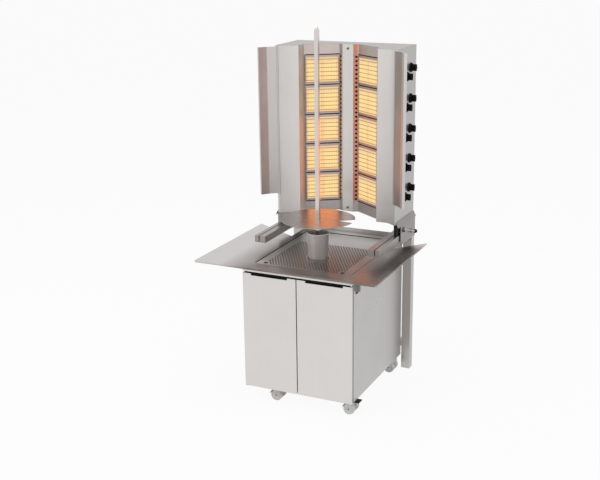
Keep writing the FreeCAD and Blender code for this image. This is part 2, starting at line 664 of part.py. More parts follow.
def meat_plate():
    bottom = PLATE_TOP - PLATE_THICKNESS
    disc = Part.makeCylinder(PLATE_RADIUS, PLATE_THICKNESS, Vector(0, SPINDLE_Y, bottom))
    half = SKEWER_SIDE / 2
    hole = box(-half, half, SPINDLE_Y - half, SPINDLE_Y + half, bottom - 1, PLATE_TOP + 1)
    y0 = SPINDLE_Y - SLIT_WIDTH / 2
    slit = box(0, NOTCH_START + SLIT_WIDTH, y0, y0 + SLIT_WIDTH, bottom - 1, PLATE_TOP + 1)
    reach = PLATE_RADIUS * 1.2
    notch = [(NOTCH_START, SPINDLE_Y)]
    for angle in (NOTCH_FRONT_ANGLE, NOTCH_BACK_ANGLE):
        turn = math.radians(angle)
        edge = Vector(PLATE_RADIUS * math.cos(turn) - NOTCH_START, PLATE_RADIUS * math.sin(turn), 0)
        edge.normalize()
        notch.append((NOTCH_START + reach * edge.x, SPINDLE_Y + reach * edge.y))
    return disc.cut(hole).cut(slit).cut(prism(notch, bottom - 1, PLATE_TOP + 1))


# Rear posts and rails


def tube_along_y(x0, width, front, back, bottom, top):
    """A rail: closed at the front, open at the back."""
    inner = box(x0 + RAIL_WALL, x0 + width - RAIL_WALL, front + RAIL_WALL, back + 1, bottom + RAIL_WALL,
                top - RAIL_WALL)
    return box(x0, x0 + width, front, back, bottom, top).cut(inner)


def frame_side():
    """The right post with its saddle and twin rails, welded together."""
    rail_bottom = RAIL_TOP - RAIL_HEIGHT
    saddle_bottom = rail_bottom - SADDLE_THICKNESS
    back = POST_Y + POST_DEPTH
    post = box(POST_X, POST_X + POST_WIDTH, POST_Y, back, 0, saddle_bottom)
    x0, x1 = POST_X + POST_WALL, POST_X + POST_WIDTH - POST_WALL
    bore = box(x0, x1, POST_Y + POST_WALL, back - POST_WALL, POST_FOOT, saddle_bottom)
    middle = POST_X + POST_WIDTH / 2
    drain = rod(Vector(middle, back - 2 * POST_WALL, POST_FOOT + 2 * DRAIN_RADIUS),
                Vector(middle, back + 1, POST_FOOT + 2 * DRAIN_RADIUS), DRAIN_RADIUS)
    rails_edge = OUTER_RAIL_X + OUTER_RAIL_WIDTH
    saddle = box(INNER_RAIL_X, rails_edge, SADDLE_FRONT, back, saddle_bottom, rail_bottom)
    outer = tube_along_y(OUTER_RAIL_X, OUTER_RAIL_WIDTH, RAIL_FRONT, back, rail_bottom, RAIL_TOP)
    inner = tube_along_y(INNER_RAIL_X, INNER_RAIL_WIDTH, RAIL_FRONT, back, rail_bottom, RAIL_TOP)
    return fuse(post.cut(bore).cut(drain), saddle, outer, inner)


def crossbars():
    bars = []
    for level in CROSSBAR_LEVELS:
        top = level + CROSSBAR_HEIGHT
        y0, y1 = CABINET_DEPTH, CABINET_DEPTH + CROSSBAR_DEPTH
        bar = box(-POST_X, POST_X, y0, y1, level, top)
        hollow = box(-POST_X - 1, POST_X + 1, y0 + POST_WALL, y1 + 1, level + POST_WALL, top - POST_WALL)
        bars.append(bar.cut(hollow))
    return Part.makeCompound(bars)


# Burner head


def head_plan():
    """The outline of the head's roof and floor."""
    right = [(0.0, STRIP_START[1]), STRIP_START, PANEL_START, PANEL_END, CHEEK_START, FACET_START, FACET_END,
             HEAD_CORNER, (HALF_HEAD, HEAD_BACK)]
    left = [(-x, y) for x, y in right[:0:-1]]
    return right + left


def head_side():
    return box(HALF_HEAD - SHEET, HALF_HEAD, HEAD_CORNER[1] + SHEET, HEAD_BACK - SHEET, HEAD_BOTTOM + SHEET,
               HEAD_TOP - SHEET)


def knob_places():
    """Each knob's name with its y and z."""
    places = {}
    for row in range(BURNER_ROWS):
        for column, (y, rise) in (("rear", KNOB_REAR), ("front", KNOB_FRONT)):
            places["knob_%s_%d" % (column, row + 1)] = (y, burner_height(row) + rise)
    return places


def head_side_right():
    holes = []
    for y, z in knob_places().values():
        holes.append(rod(Vector(HALF_HEAD - 2 * SHEET, y, z), Vector(HALF_HEAD + 1, y, z),
                         KNOB_HUB_RADIUS + SHEET))
    return drill(head_side(), *holes)


def head_back():
    sheet = box(-HALF_HEAD, HALF_HEAD, HEAD_BACK - SHEET, HEAD_BACK, HEAD_BOTTOM + SHEET, HEAD_TOP - SHEET)
    length, height = LOUVRE
    slots = []
    for row in range(LOUVRE_ROWS):
        z0 = HEAD_TOP - (row + 1.5) * LOUVRE_PITCH
        for middle in (-HALF_HEAD / 2, 0, HALF_HEAD / 2):
            x0 = middle - length / 2
            slots.append(box(x0, x0 + length, HEAD_BACK - 2 * SHEET, HEAD_BACK + 1, z0, z0 + height))
    pipe = Vector(pipe_x(), HEAD_BACK, INLET_HEIGHT)
    slots.append(rod(pipe - BACK * 2 * SHEET, pipe + BACK, PIPE_RADIUS + SHEET))
    return drill(sheet, *slots)


def centre_post():
    half = POST_FACE_WIDTH / 2
    back = POST_FACE_Y + POST_FACE_RETURN
    outside = box(-half, half, POST_FACE_Y, back, HEAD_BOTTOM + SHEET, HEAD_TOP - SHEET)
    inside = box(-half + SHEET, half - SHEET, POST_FACE_Y + SHEET, back + 1, 0, HEAD_TOP)
    return outside.cut(inside)


def cheek():
    """The right cheek with the two tabs that hold the wind wing's pins."""
    sheet = folded_sheet([PANEL_END, CHEEK_START, FACET_START, FACET_END, HEAD_CORNER], HEAD_BOTTOM + SHEET,
                         HEAD_TOP - SHEET)
    x, y = WING_HINGE
    tabs = []
    holes = []
    for z0 in (WING_BOTTOM - RUN_GAP - WING_TAB, WING_TOP + RUN_GAP):
        y1 = HEAD_CORNER[1] + SHEET
        tabs.append(box(x - KNUCKLE_RADIUS, HALF_HEAD - 1, y - KNUCKLE_RADIUS, y1, z0, z0 + WING_TAB))
        holes.append(rod(Vector(x, y, z0 - 1), Vector(x, y, z0 + WING_TAB + 1), WING_PIN_RADIUS + PIN_PLAY))
    return drill(fuse(sheet, *tabs), *holes)


def on_panel(shape, row):
    """Move a piece made flat at the origin to a burner's place on the right panel."""
    placed = shape.copy()
    placed.rotate(ORIGIN, UP, -PANEL_ANGLE)
    placed.translate(Vector(PANEL_MIDDLE[0], PANEL_MIDDLE[1], burner_height(row)))
    return placed


def both_panels(shape):
    right = [on_panel(shape, row) for row in range(BURNER_ROWS)]
    return Part.makeCompound(right + [mirrored(piece) for piece in right])


def panel():
    """The right burner panel and its vent strip, folded from one sheet."""
    sheet = folded_sheet([STRIP_START, PANEL_START, PANEL_END], HEAD_BOTTOM + SHEET, HEAD_TOP - SHEET)
    width = BURNER_MOUTH[0] + 2 * CHAMBER_WALL
    height = BURNER_MOUTH[1] + 2 * CHAMBER_WALL
    window = box(-width / 2, width / 2, -SHEET, 2 * SHEET, -height / 2, height / 2)
    tools = [on_panel(window, row) for row in range(BURNER_ROWS)]
    pitch = BURNER_PITCH / (GUARD_WIRES + 1)
    strip_x = STRIP_START[0] + VENT_STRIP_WIDTH * VENT_HOLE_SHARE
    strip_y = STRIP_START[1] + VENT_STRIP_DEPTH * VENT_HOLE_SHARE
    for index in range(BURNER_ROWS * (GUARD_WIRES + 1)):
        z = BURNER_TOP - (index + 0.5) * pitch
        tools.append(rod(Vector(strip_x, strip_y - 4 * SHEET, z), Vector(strip_x, strip_y + 6 * SHEET, z),
                         VENT_HOLE_RADIUS))
    return drill(sheet, *tools)


def burner_body():
    """One burner, flat at the origin: flange in front of the panel and chamber behind it."""
    width, height = BURNER_FRAME
    mouth_w, mouth_h = BURNER_MOUTH
    flange = box(-width / 2, width / 2, -FRAME_RISE, 0, -height / 2, height / 2)
    chamber = box(-mouth_w / 2 - CHAMBER_WALL, mouth_w / 2 + CHAMBER_WALL, -FRAME_RISE, CHAMBER_DEPTH,
                  -mouth_h / 2 - CHAMBER_WALL, mouth_h / 2 + CHAMBER_WALL)
    back = CHAMBER_DEPTH - CHAMBER_WALL
    hollow = box(-mouth_w / 2, mouth_w / 2, -FRAME_RISE - 1, back, -mouth_h / 2, mouth_h / 2)
    return fuse(flange, chamber).cut(hollow)


def ceramic_pair():
    """Two tiles side by side in one burner's mouth."""
    mouth_w, mouth_h = BURNER_MOUTH
    seam = RUN_GAP / 2
    front = -FRAME_RISE + TILE_SET_BACK
    tile = box(seam, mouth_w / 2, front, front + TILE_THICKNESS, -mouth_h / 2, mouth_h / 2)
    return Part.makeCompound([tile, mirrored(tile)])


def burner_guard():
    """The wire guard in front of one burner: cross wires between two upright bars."""
    radius = GUARD_WIRE_RADIUS
    inner = BURNER_MOUTH[0] / 2
    near = -FRAME_RISE
    far = near - GUARD_BAR
    reach = BURNER_MOUTH[1] / 2
    right = box(inner, inner + GUARD_BAR, far, near, -reach, reach)
    pieces = [mirrored(right)]
    pitch = BURNER_MOUTH[1] / GUARD_WIRES
    for index in range(GUARD_WIRES):
        z = (index + 0.5) * pitch - reach
        start = Vector(-inner - GUARD_BAR / 2, (near + far) / 2, z)
        pieces.append(rod(start, Vector(-start.x, start.y, z), radius))
    return fuse(right, *pieces)


# Gas train


def valve_x():
    return HALF_HEAD - KNOB_HUB_LENGTH - RUN_GAP - VALVE_SIZE[0]


def pipe_x():
    return valve_x() + VALVE_SIZE[0] / 2


def pipe_y():
    return (KNOB_REAR[0] + KNOB_FRONT[0]) / 2


def gas_train():
    """The supply pipe with its threaded inlet, and a valve behind each knob."""
    x, y = pipe_x(), pipe_y()
    top = burner_height(0) + KNOB_REAR[1] + PIPE_TOP_REACH
    riser = rod(Vector(x, y, INLET_HEIGHT), Vector(x, y, top), PIPE_RADIUS)
    elbow = Part.makeSphere(PIPE_RADIUS, Vector(x, y, INLET_HEIGHT))
    exit_point = Vector(x, HEAD_BACK + RUN_GAP, INLET_HEIGHT)
    run = rod(Vector(x, y, INLET_HEIGHT), exit_point, PIPE_RADIUS)
    inlet = rod(exit_point, Vector(x, HEAD_BACK + INLET_REACH, INLET_HEIGHT), INLET_RADIUS)
    width, depth, height = VALVE_SIZE
    blocks = []
    branches = []
    for valve_y, z in knob_places().values():
        y0, z0 = valve_y - depth / 2, z - height / 2
        blocks.append(box(valve_x(), valve_x() + width, y0, y0 + depth, z0, z0 + height))
        near = valve_y - depth / 2 if valve_y > y else valve_y + depth / 2
        branches.append(rod(Vector(x, y, z), Vector(x, near, z), PIPE_RADIUS / 2))
    return Part.makeCompound([fuse(riser, elbow, run, inlet, *branches)] + blocks)


def knob(y, z):
    start = Vector(KNOB_X, y, z)
    skirt = Part.makeCone(KNOB_SKIRT_RADIUS, KNOB_SKIRT_RADIUS - 2 * SHEET, KNOB_SKIRT_HEIGHT, start, RIGHT)
    cap_start = start + RIGHT * KNOB_SKIRT_HEIGHT
    cap = Part.makeCone(KNOB_CAP_RADIUS, KNOB_CAP_RADIUS - SHEET, KNOB_CAP_HEIGHT, cap_start, RIGHT)
    width, length = KNOB_RIB
    y0, z0 = y - width / 2, z - length / 2
    rib = box(cap_start.x, cap_start.x + KNOB_CAP_HEIGHT + SHEET, y0, y0 + width, z0, z0 + length)
    hub = rod(start - RIGHT * (KNOB_HUB_LENGTH - RUN_GAP), start, KNOB_HUB_RADIUS)
    return fuse(skirt, cap, rib, hub)


# Wind wings


def wing():
    """The right wind wing: two leaves, a hem and a knuckle with a stub pin at each end."""
    hinge = WING_HINGE
    start = step(hinge, KNUCKLE_RADIUS - SHEET, WING_INNER_ANGLE)
    bend = step(hinge, WING_INNER, WING_INNER_ANGLE)
    edge = step(bend, WING_OUTER, WING_OUTER_ANGLE)
    hem = step(edge, WING_HEM, WING_HEM_ANGLE)
    sheet = folded_sheet([start, bend, edge, hem], WING_BOTTOM, WING_TOP)
    axis = Vector(hinge[0], hinge[1], 0)
    knuckle = rod(axis + UP * WING_BOTTOM, axis + UP * WING_TOP, KNUCKLE_RADIUS)
    reach = WING_TAB + 2 * RUN_GAP
    pin = rod(axis + UP * (WING_BOTTOM - reach), axis + UP * (WING_TOP + reach), WING_PIN_RADIUS)
    return fuse(sheet, knuckle, pin)


# Carriage and lock lever


def skirt_section():
    outer = SIDE_PLATE_X + PLATE_SHEET
    bottom = HEAD_BOTTOM - SKIRT_DROP
    top = HEAD_BOTTOM + SKIRT_HEIGHT
    return [(SIDE_PLATE_X, bottom), (outer, bottom), (HALF_HEAD + PLATE_SHEET, top), (HALF_HEAD, top)]


def carriage():
    """The right carriage: a beam over the outer rail, a skirt along the head and a side plate."""
    beam_x = OUTER_RAIL_X - BEAM_OVERHANG
    beam_foot = RAIL_TOP + BEAM_GAP
    top_edge = HALF_HEAD + SKIRT_DROP / 2
    top = box(beam_x, top_edge, BEAM_FRONT, BEAM_BACK, HEAD_BOTTOM - PLATE_SHEET, HEAD_BOTTOM)
    web = box(beam_x, beam_x + PLATE_SHEET, BEAM_FRONT, BEAM_BACK, beam_foot, HEAD_BOTTOM)
    skirt = bar_along_y(skirt_section(), HEAD_CORNER[1], HEAD_BACK)
    plate = box(SIDE_PLATE_X, SIDE_PLATE_X + PLATE_SHEET, PLATE_FRONT, BEAM_BACK, PLATE_BOTTOM,
                HEAD_BOTTOM - SKIRT_DROP)
    y, z = LEVER_PIVOT
    hole = rod(Vector(SIDE_PLATE_X - 1, y, z), Vector(LEVER_X, y, z), LEVER_PIN_RADIUS + PIN_PLAY)
    return fuse(top, web, skirt, plate).cut(hole)


def carriage_glides():
    """Black glide blocks on the outer rails, and the liners beside them."""
    beam_x = OUTER_RAIL_X - BEAM_OVERHANG + PLATE_SHEET
    block_top = HEAD_BOTTOM - PLATE_SHEET
    pieces = []
    for y0 in (BEAM_FRONT, BEAM_BACK - GLIDE_LENGTH):
        x1, y1 = HALF_HEAD + SKIRT_DROP / 3, y0 + GLIDE_LENGTH
        pieces.append(box(beam_x, x1, y0, y1, RAIL_TOP + REST_GAP, block_top))
    liner_x = SIDE_PLATE_X - LINER_THICKNESS
    liner = box(liner_x, SIDE_PLATE_X, PLATE_FRONT, BEAM_BACK, RAIL_TOP - RAIL_HEIGHT + FIT_GAP,
                RAIL_TOP - FIT_GAP)
    pieces.append(liner)
    return Part.makeCompound(pieces + [mirrored(piece) for piece in pieces])


def lock_lever():
    """Clamping lever on the right side plate, with a ball on its end."""
    y, z = LEVER_PIVOT
    end_y, end_z = LEVER_END
    boss_height = LEVER_BALL_RADIUS + FIT_GAP
    pivot = Vector(LEVER_X, y, z)
    boss = rod(pivot, pivot + RIGHT * boss_height, LEVER_BOSS_RADIUS)
    pin = rod(pivot - RIGHT * (PLATE_SHEET + 3 * RUN_GAP), pivot, LEVER_PIN_RADIUS)
    ball_centre = Vector(LEVER_X + LEVER_BALL_RADIUS + LEVER_BALL_GAP, end_y, end_z)
    arm = rod(pivot + RIGHT * boss_height / 2, ball_centre, LEVER_ROD_RADIUS)
    return fuse(boss, pin, arm, Part.makeSphere(LEVER_BALL_RADIUS, ball_centre))


# Casters, made at the swivel axis


def caster_places():
    return {"front_left": (CASTER_LEFT_X, CASTER_FRONT_Y), "front_right": (CASTER_RIGHT_X, CASTER_FRONT_Y),
            "rear_left": (CASTER_LEFT_X, CASTER_REAR_Y), "rear_right": (CASTER_RIGHT_X, CASTER_REAR_Y)}


def fender_radius():
    return WHEEL_RADIUS + FENDER_GAP + FENDER_WALL


def pedal_pin():
    """The brake pedal's hinge, beside and above the fender."""
    return WHEEL_TRAIL + 0.6 * WHEEL_RADIUS, WHEEL_RADIUS + fender_radius()


def caster_fork(braked):
    top = DECK_BOTTOM - RUN_GAP
    wheel = Vector(WHEEL_TRAIL, 0, WHEEL_RADIUS)
    half = FORK_WIDTH / 2 + RUN_GAP + WHEEL_WIDTH
    rim = rod(wheel - BACK * half, wheel + BACK * half, fender_radius())
    rim = rim.cut(rod(wheel - BACK * (half + 1), wheel + BACK * (half + 1), WHEEL_RADIUS + FENDER_GAP))
    x0, x1 = wheel.x - 2 * WHEEL_RADIUS, wheel.x + 0.8 * WHEEL_RADIUS
    upper = box(x0, x1, -half, half, WHEEL_RADIUS * 1.2, top)
    fender = rim.common(upper)
    web_half = FORK_WIDTH / 2 - RUN_GAP
    web_foot = WHEEL_RADIUS - 2 * AXLE_RADIUS
    x0, x1 = -TURRET_RADIUS / 2, wheel.x + 2 * AXLE_RADIUS
    web = box(x0, x1, -web_half, web_half, web_foot, WHEEL_RADIUS + fender_radius())
    turret_foot = WHEEL_RADIUS + fender_radius() - FENDER_WALL
    turret = Part.makeCylinder(TURRET_RADIUS, top - turret_foot, Vector(0, 0, turret_foot))
    stem = Part.makeCylinder(STEM_RADIUS, STEM_RISE + SHEET, Vector(0, 0, top))
    body = fuse(fender, web, turret, stem)
    if braked:
        pin_x, pin_z = pedal_pin()
        lug_half = web_half - 2 * RUN_GAP
        lug = box(pin_x - 3 * PEDAL_PIN_RADIUS, pin_x + 2 * PEDAL_PIN_RADIUS, -lug_half, lug_half,
                  WHEEL_RADIUS + fender_radius() * 0.7, pin_z + 2 * PEDAL_PIN_RADIUS)
        hole = rod(Vector(pin_x, -half, pin_z), Vector(pin_x, half, pin_z), PEDAL_PIN_RADIUS + PIN_PLAY)
        reach = wheel + BACK * (half + 1)
        clear = rod(wheel - BACK * (half + 1), reach, WHEEL_RADIUS + FENDER_GAP)
        body = fuse(body, lug.cut(clear)).cut(hole)
    bore = rod(wheel - BACK * half, wheel + BACK * half, AXLE_RADIUS + PIN_PLAY)
    return body.cut(bore)


def caster_wheels():
    """Two wheels on one axle."""
    centre = Vector(WHEEL_TRAIL, 0, WHEEL_RADIUS)
    inner = FORK_WIDTH / 2
    pieces = []
    for side in (-1, 1):
        disc = rod(centre + BACK * side * inner, centre + BACK * side * (inner + WHEEL_WIDTH), WHEEL_RADIUS)
        rims = [edge for edge in disc.Edges if edge.Curve.TypeId == "Part::GeomCircle"]
        disc = disc.makeFillet(WHEEL_ROUND, rims)
        face = centre + BACK * side * (inner + WHEEL_WIDTH)
        hollow = rod(face - BACK * side * WHEEL_ROUND, face + BACK * side, WHEEL_RADIUS * 0.6)
        cap = rod(face - BACK * side * WHEEL_ROUND, face, WHEEL_RADIUS * 0.25)
        pieces.append(disc.cut(hollow))
        pieces.append(cap)
    axle = rod(centre - BACK * (inner + 1), centre + BACK * (inner + 1), AXLE_RADIUS)
    return fuse(axle, *pieces)


def brake_pedal():
    pin_x, pin_z = pedal_pin()
    web_half = FORK_WIDTH / 2 - 3 * RUN_GAP
    ear_inner = web_half + 2 * RUN_GAP
    ear_outer = ear_inner + PEDAL_SHEET
    plate_start = pin_x + 2 * PEDAL_PIN_RADIUS + 2 * RUN_GAP
    half_width, z0 = PEDAL_WIDTH / 2, pin_z - PEDAL_SHEET / 2
    plate = box(plate_start, plate_start + PEDAL_LENGTH, -half_width, half_width, z0, z0 + PEDAL_SHEET)
    pieces = [rod(Vector(pin_x, -ear_outer, pin_z), Vector(pin_x, ear_outer, pin_z), PEDAL_PIN_RADIUS)]
    for side in (-1, 1):
        y0, y1 = sorted((side * ear_inner, side * ear_outer))
        pieces.append(box(pin_x - PEDAL_PIN_RADIUS, plate_start + 1, y0, y1, z0, z0 + PEDAL_SHEET))
    return fuse(plate, *pieces)


def moved(shape, x, y):
    placed = shape.copy()
    placed.translate(Vector(x, y, 0))
    return placed


def write_cabinet():
    write("cabinet_side_left", fuse(mirrored(cabinet_side()), mirrored(door_tab())))
    write("cabinet_side_right", fuse(cabinet_side_right(), door_tab()))
    write("cabinet_back", cabinet_back())
    write("cabinet_decks", cabinet_decks())
    write("front_rail", front_rail())
    write("door_left", mirrored(door()))
    write("door_right", door())
    write("switch_handle", switch_handle())
    write("cable_gland", cable_gland())
    write("frame_left", mirrored(frame_side()))
    write("frame_right", frame_side())
    write("frame_crossbars", crossbars())


def write_top():
    write("worktop", worktop())
    write("drip_basin", drip_basin())
    write("perforated_grid", perforated_grid())
    write("spindle_cup", spindle_cup())
    write("gearmotor", gearmotor())
    write("drive_shaft", drive_shaft())
    write("skewer", skewer())
    write("meat_plate", meat_plate())


def write_head():
    roof = prism(head_plan(), HEAD_TOP - SHEET, HEAD_TOP)
    write("head_roof", roof)
    write("head_floor", prism(head_plan(), HEAD_BOTTOM, HEAD_BOTTOM + SHEET))
    write("head_side_left", mirrored(head_side()))
    write("head_side_right", head_side_right())
    write("head_back", head_back())
    write("centre_post", centre_post())
    write("cheek_left", mirrored(cheek()))
    write("cheek_right", cheek())
    write("panel_left", mirrored(panel()))
    write("panel_right", panel())
    write("burner_bodies", both_panels(burner_body()))
    write("ceramic_tiles", both_panels(ceramic_pair()))
    write("burner_guards", both_panels(burner_guard()))
    write("gas_train", gas_train())
    write("carriage_left", mirrored(carriage()))
    write("carriage_right", carriage())
    write("carriage_glides", carriage_glides())
    write("lock_lever", lock_lever())
    write("wing_left", mirrored(wing()))
    write("wing_right", wing())
    for name, (y, z) in knob_places().items():
        write(name, knob(y, z))


def write_casters():
    wheels = caster_wheels()
    for name, (x, y) in caster_places().items():
        braked = name.startswith("front")
        write("caster_fork_" + name, moved(caster_fork(braked), x, y))
        write("caster_wheels_" + name, moved(wheels, x, y))
        if braked:
            write("brake_pedal_" + name, moved(brake_pedal(), x, y))


write_cabinet()
write_top()
write_head()
write_casters()
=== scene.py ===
import json
import logging
import math
from dataclasses import dataclass, field
from enum import Enum

import bmesh
import bpy
from mathutils import Matrix, Vector

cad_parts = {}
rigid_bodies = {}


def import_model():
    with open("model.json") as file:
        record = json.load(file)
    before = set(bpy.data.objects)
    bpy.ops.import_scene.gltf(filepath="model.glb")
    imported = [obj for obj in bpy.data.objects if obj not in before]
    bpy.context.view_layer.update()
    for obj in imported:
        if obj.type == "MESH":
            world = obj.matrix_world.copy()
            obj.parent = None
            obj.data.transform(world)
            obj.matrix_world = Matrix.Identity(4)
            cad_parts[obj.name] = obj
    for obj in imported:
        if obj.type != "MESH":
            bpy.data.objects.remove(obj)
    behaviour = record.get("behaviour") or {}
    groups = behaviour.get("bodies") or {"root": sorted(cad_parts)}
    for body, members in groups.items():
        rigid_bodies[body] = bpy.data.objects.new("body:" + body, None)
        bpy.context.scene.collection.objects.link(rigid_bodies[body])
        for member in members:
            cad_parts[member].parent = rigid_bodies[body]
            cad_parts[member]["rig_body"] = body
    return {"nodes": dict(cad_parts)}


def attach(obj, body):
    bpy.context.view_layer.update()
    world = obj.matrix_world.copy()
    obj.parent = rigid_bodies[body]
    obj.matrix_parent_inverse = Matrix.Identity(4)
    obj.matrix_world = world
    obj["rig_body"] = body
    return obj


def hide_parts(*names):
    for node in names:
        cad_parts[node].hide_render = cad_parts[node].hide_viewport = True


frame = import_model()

LOG = logging.getLogger("grill")
MM = 0.001
MIDDLE = Vector((-0.070, 0.3865, 0.0))
"""The base's middle, seen from the spindle and the doors' front face."""

Point = tuple[float, float, float]
Colour = tuple[float, float, float]


def at(x: float, y: float, z: float) -> Vector:
    """Turn a workshop point into a point of the frame.

    Args:
        x: Millimetres to the right of the spindle.
        y: Millimetres behind the doors' front face.
        z: Millimetres above the floor.

    Returns:
        The point in metres, in the frame.
    """
    return Vector((x, y, z)) * MM - MIDDLE


class Axis(Enum):
    """The three main directions, as unit vectors."""

    X = (1.0, 0.0, 0.0)
    Y = (0.0, 1.0, 0.0)
    Z = (0.0, 0.0, 1.0)


class Grain(Enum):
    """Direction of a sheet's brushing, as the noise scale along x, y and z."""

    ALONG_X = (5.0, 700.0, 700.0)
    ALONG_Y = (700.0, 5.0, 700.0)
    ALONG_Z = (700.0, 700.0, 5.0)
    NONE = (160.0, 160.0, 160.0)


class Graph:
    """A small helper that lays out one material's nodes."""

    def __init__(self, name: str) -> None:
        """Start a material.

        Args:
            name: The material's name.
        """
        self.material = bpy.data.materials.new(name)
        self.material.use_nodes = True
        self.tree = self.material.node_tree
        self.tree.nodes.clear()
        self.output = self.tree.nodes.new("ShaderNodeOutputMaterial")
        self.place = self.tree.nodes.new("ShaderNodeTexCoord").outputs["Object"]

    def node(self, kind: str, settings: dict | None = None, **inputs: object) -> bpy.types.Node:
        """Add a node.

        Args:
            kind: The node's type without its prefix.
            settings: Properties to set on the node.
            inputs: Input sockets by name, with underscores for spaces; a socket value is linked.

        Returns:
            The new node.
        """
        made = self.tree.nodes.new("ShaderNode" + kind)
        for key, value in (settings or {}).items():
            setattr(made, key, value)
        for key, value in inputs.items():
            found = int(key[1:]) if key[0] == "n" and key[1:].isdigit() else key.replace("_", " ")
            if isinstance(value, bpy.types.NodeSocket):
                self.tree.links.new(value, made.inputs[found])
            else:
                made.inputs[found].default_value = value
        return made

    def noise(self, scale: Point, detail: float = 2.0, size: float = 1.0) -> bpy.types.NodeSocket:
        """Add noise on object coordinates.

        Args:
            scale: Stretch along x, y and z.
            detail: How many finer layers.
            size: Base frequency.

        Returns:
            The noise's factor.
        """
        spread = self.node("Mapping", Vector=self.place, Scale=scale)
        return self.node("TexNoise", Vector=spread.outputs[0], Scale=size, Detail=detail).outputs["Fac"]

    def span(self, value: bpy.types.NodeSocket, low: float, high: float, first: float = 0.3,
             last: float = 0.7) -> bpy.types.NodeSocket:
        """Map a factor's middle part onto a range.

        Args:
            value: The factor.
            low: Result at first.
            high: Result at last.
            first: Factor that gives low.
            last: Factor that gives high.

        Returns:
            The mapped value.
        """
        made = self.node("MapRange", Value=value, From_Min=first, From_Max=last, To_Min=low, To_Max=high)
        return made.outputs["Result"]

    def tint(self, colour: Colour, factor: bpy.types.NodeSocket, dark: float,
             light: float) -> bpy.types.NodeSocket:
        """Vary a colour between two brightnesses.

        Args:
            colour: The middle colour, linear.
            factor: Where to be dark or light.
            dark: Brightness at 0.
            light: Brightness at 1.

        Returns:
            The colour socket.
        """
        first = tuple(min(1.0, c * dark) for c in colour) + (1.0,)
        last = tuple(min(1.0, c * light) for c in colour) + (1.0,)
        return self.mix(factor, first, last)

    def mix(self, factor: object, first: object, last: object) -> bpy.types.NodeSocket:
        """Mix two colours.

        Args:
            factor: Socket or number.
            first: Colour at 0.
            last: Colour at 1.

        Returns:
            The mixed colour.
        """
        made = self.node("Mix", {"data_type": "RGBA"}, n0=factor, n6=first, n7=last)
        return made.outputs[2]

    def math(self, operation: str, *values: object) -> bpy.types.NodeSocket:
        """Add a math node.

        Args:
            operation: The math node's operation.
            values: Its inputs in order.

        Returns:
            The result.
        """
        inputs = {f"n{index}": value for index, value in enumerate(values)}
        return self.node("Math", {"operation": operation}, **inputs).outputs[0]

    def bump(self, height: bpy.types.NodeSocket, strength: float, distance: float) -> bpy.types.NodeSocket:
        """Add a bump.

        Args:
            height: The height factor.
            strength: How strong.
            distance: How deep, in metres.

        Returns:
            The bent normal.
        """
        made = self.node("Bump", Height=height, Strength=strength, Distance=distance)
        return made.outputs["Normal"]

    def close(self, shader: bpy.types.NodeSocket) -> bpy.types.Material:
        """Link the shader to the output.

        Args:
            shader: The finished shader.

        Returns:
            The material.
        """
        self.tree.links.new(shader, self.output.inputs["Surface"])
        return self.material


@dataclass(frozen=True)
class SteelFinish:
    """Satin stainless steel with a brushed grain and soft smudges, and where given a painted tint of reflected glow and
    shade.
    """

    name: str
    slot: str
    colour: Colour
    grain: Grain = Grain.ALONG_Z
    roughness: tuple[float, float] = (0.26, 0.40)
    metal: float = 1.0
    smudge: float = 0.10
    # painted_light: a colour of painted light and shade, laid over a band along painted_light_axis; the burners' glow
    # reflected in some sheets, shade on others
    painted_light: Colour | None = None
    painted_light_from: tuple[float, ...] = (0.0, 1.0)
    painted_light_axis: Axis = Axis.Z
    painted_light_edge: tuple[Axis, float, float] | None = None
    # painted_glow: an emission that makes the steel glow, though it is no lamp
    painted_glow: Colour | None = None

    def build(self) -> bpy.types.Material:
        """Build the material.

        Returns:
            The finished material.
        """
        graph = Graph(self.name)
        streak = graph.noise(self.grain.value, 3.0)
        band = graph.noise(tuple(v * 0.12 for v in self.grain.value), 2.0)
        cloud = graph.noise((5.0, 5.0, 5.0), 3.0)
        both = graph.math("MULTIPLY_ADD", band, 0.5, graph.math("MULTIPLY", streak, 0.5))
        blend = graph.math("MULTIPLY_ADD", cloud, 0.4, graph.math("MULTIPLY", both, 0.6))
        colour = graph.tint(self.colour, graph.span(blend, 0.0, 1.0, 0.35, 0.65), 1 - self.smudge,
                            1 + self.smudge)
        # Painted light: tint the steel over a band along one axis, standing in for reflected glow and for shade.
        if self.painted_light is not None:
            split = graph.node("SeparateXYZ", Vector=graph.place).outputs
            height = split[self.painted_light_axis.name]
            near = graph.span(height, 0.0, 1.0, *self.painted_light_from[:2])
            if len(self.painted_light_from) == 4:
                near = graph.math("MULTIPLY", near, graph.span(height, 1.0, 0.0, *self.painted_light_from[2:]))
            if self.painted_light_edge is not None:
                edge = graph.span(split[self.painted_light_edge[0].name], 0.0, 1.0, *self.painted_light_edge[1:])
                near = graph.math("MULTIPLY", near, edge)
            painted_mask = graph.math("MULTIPLY", near, graph.span(cloud, 0.7, 1.0))
            colour = graph.mix(painted_mask, colour, self.painted_light + (1.0,))
        rough = graph.span(both, self.roughness[0], self.roughness[1], 0.35, 0.65)
        shader = graph.node("BsdfPrincipled", Base_Color=colour, Roughness=rough, Metallic=self.metal,
                            Normal=graph.bump(streak, 0.25, 0.00004))
        # Painted glow: a faint orange emission of the steel's own.
        if self.painted_glow is not None:
            shader.inputs["Emission Color"].default_value = self.painted_glow + (1.0,)
            shader.inputs["Emission Strength"].default_value = 1.0
        return graph.close(shader.outputs[0])


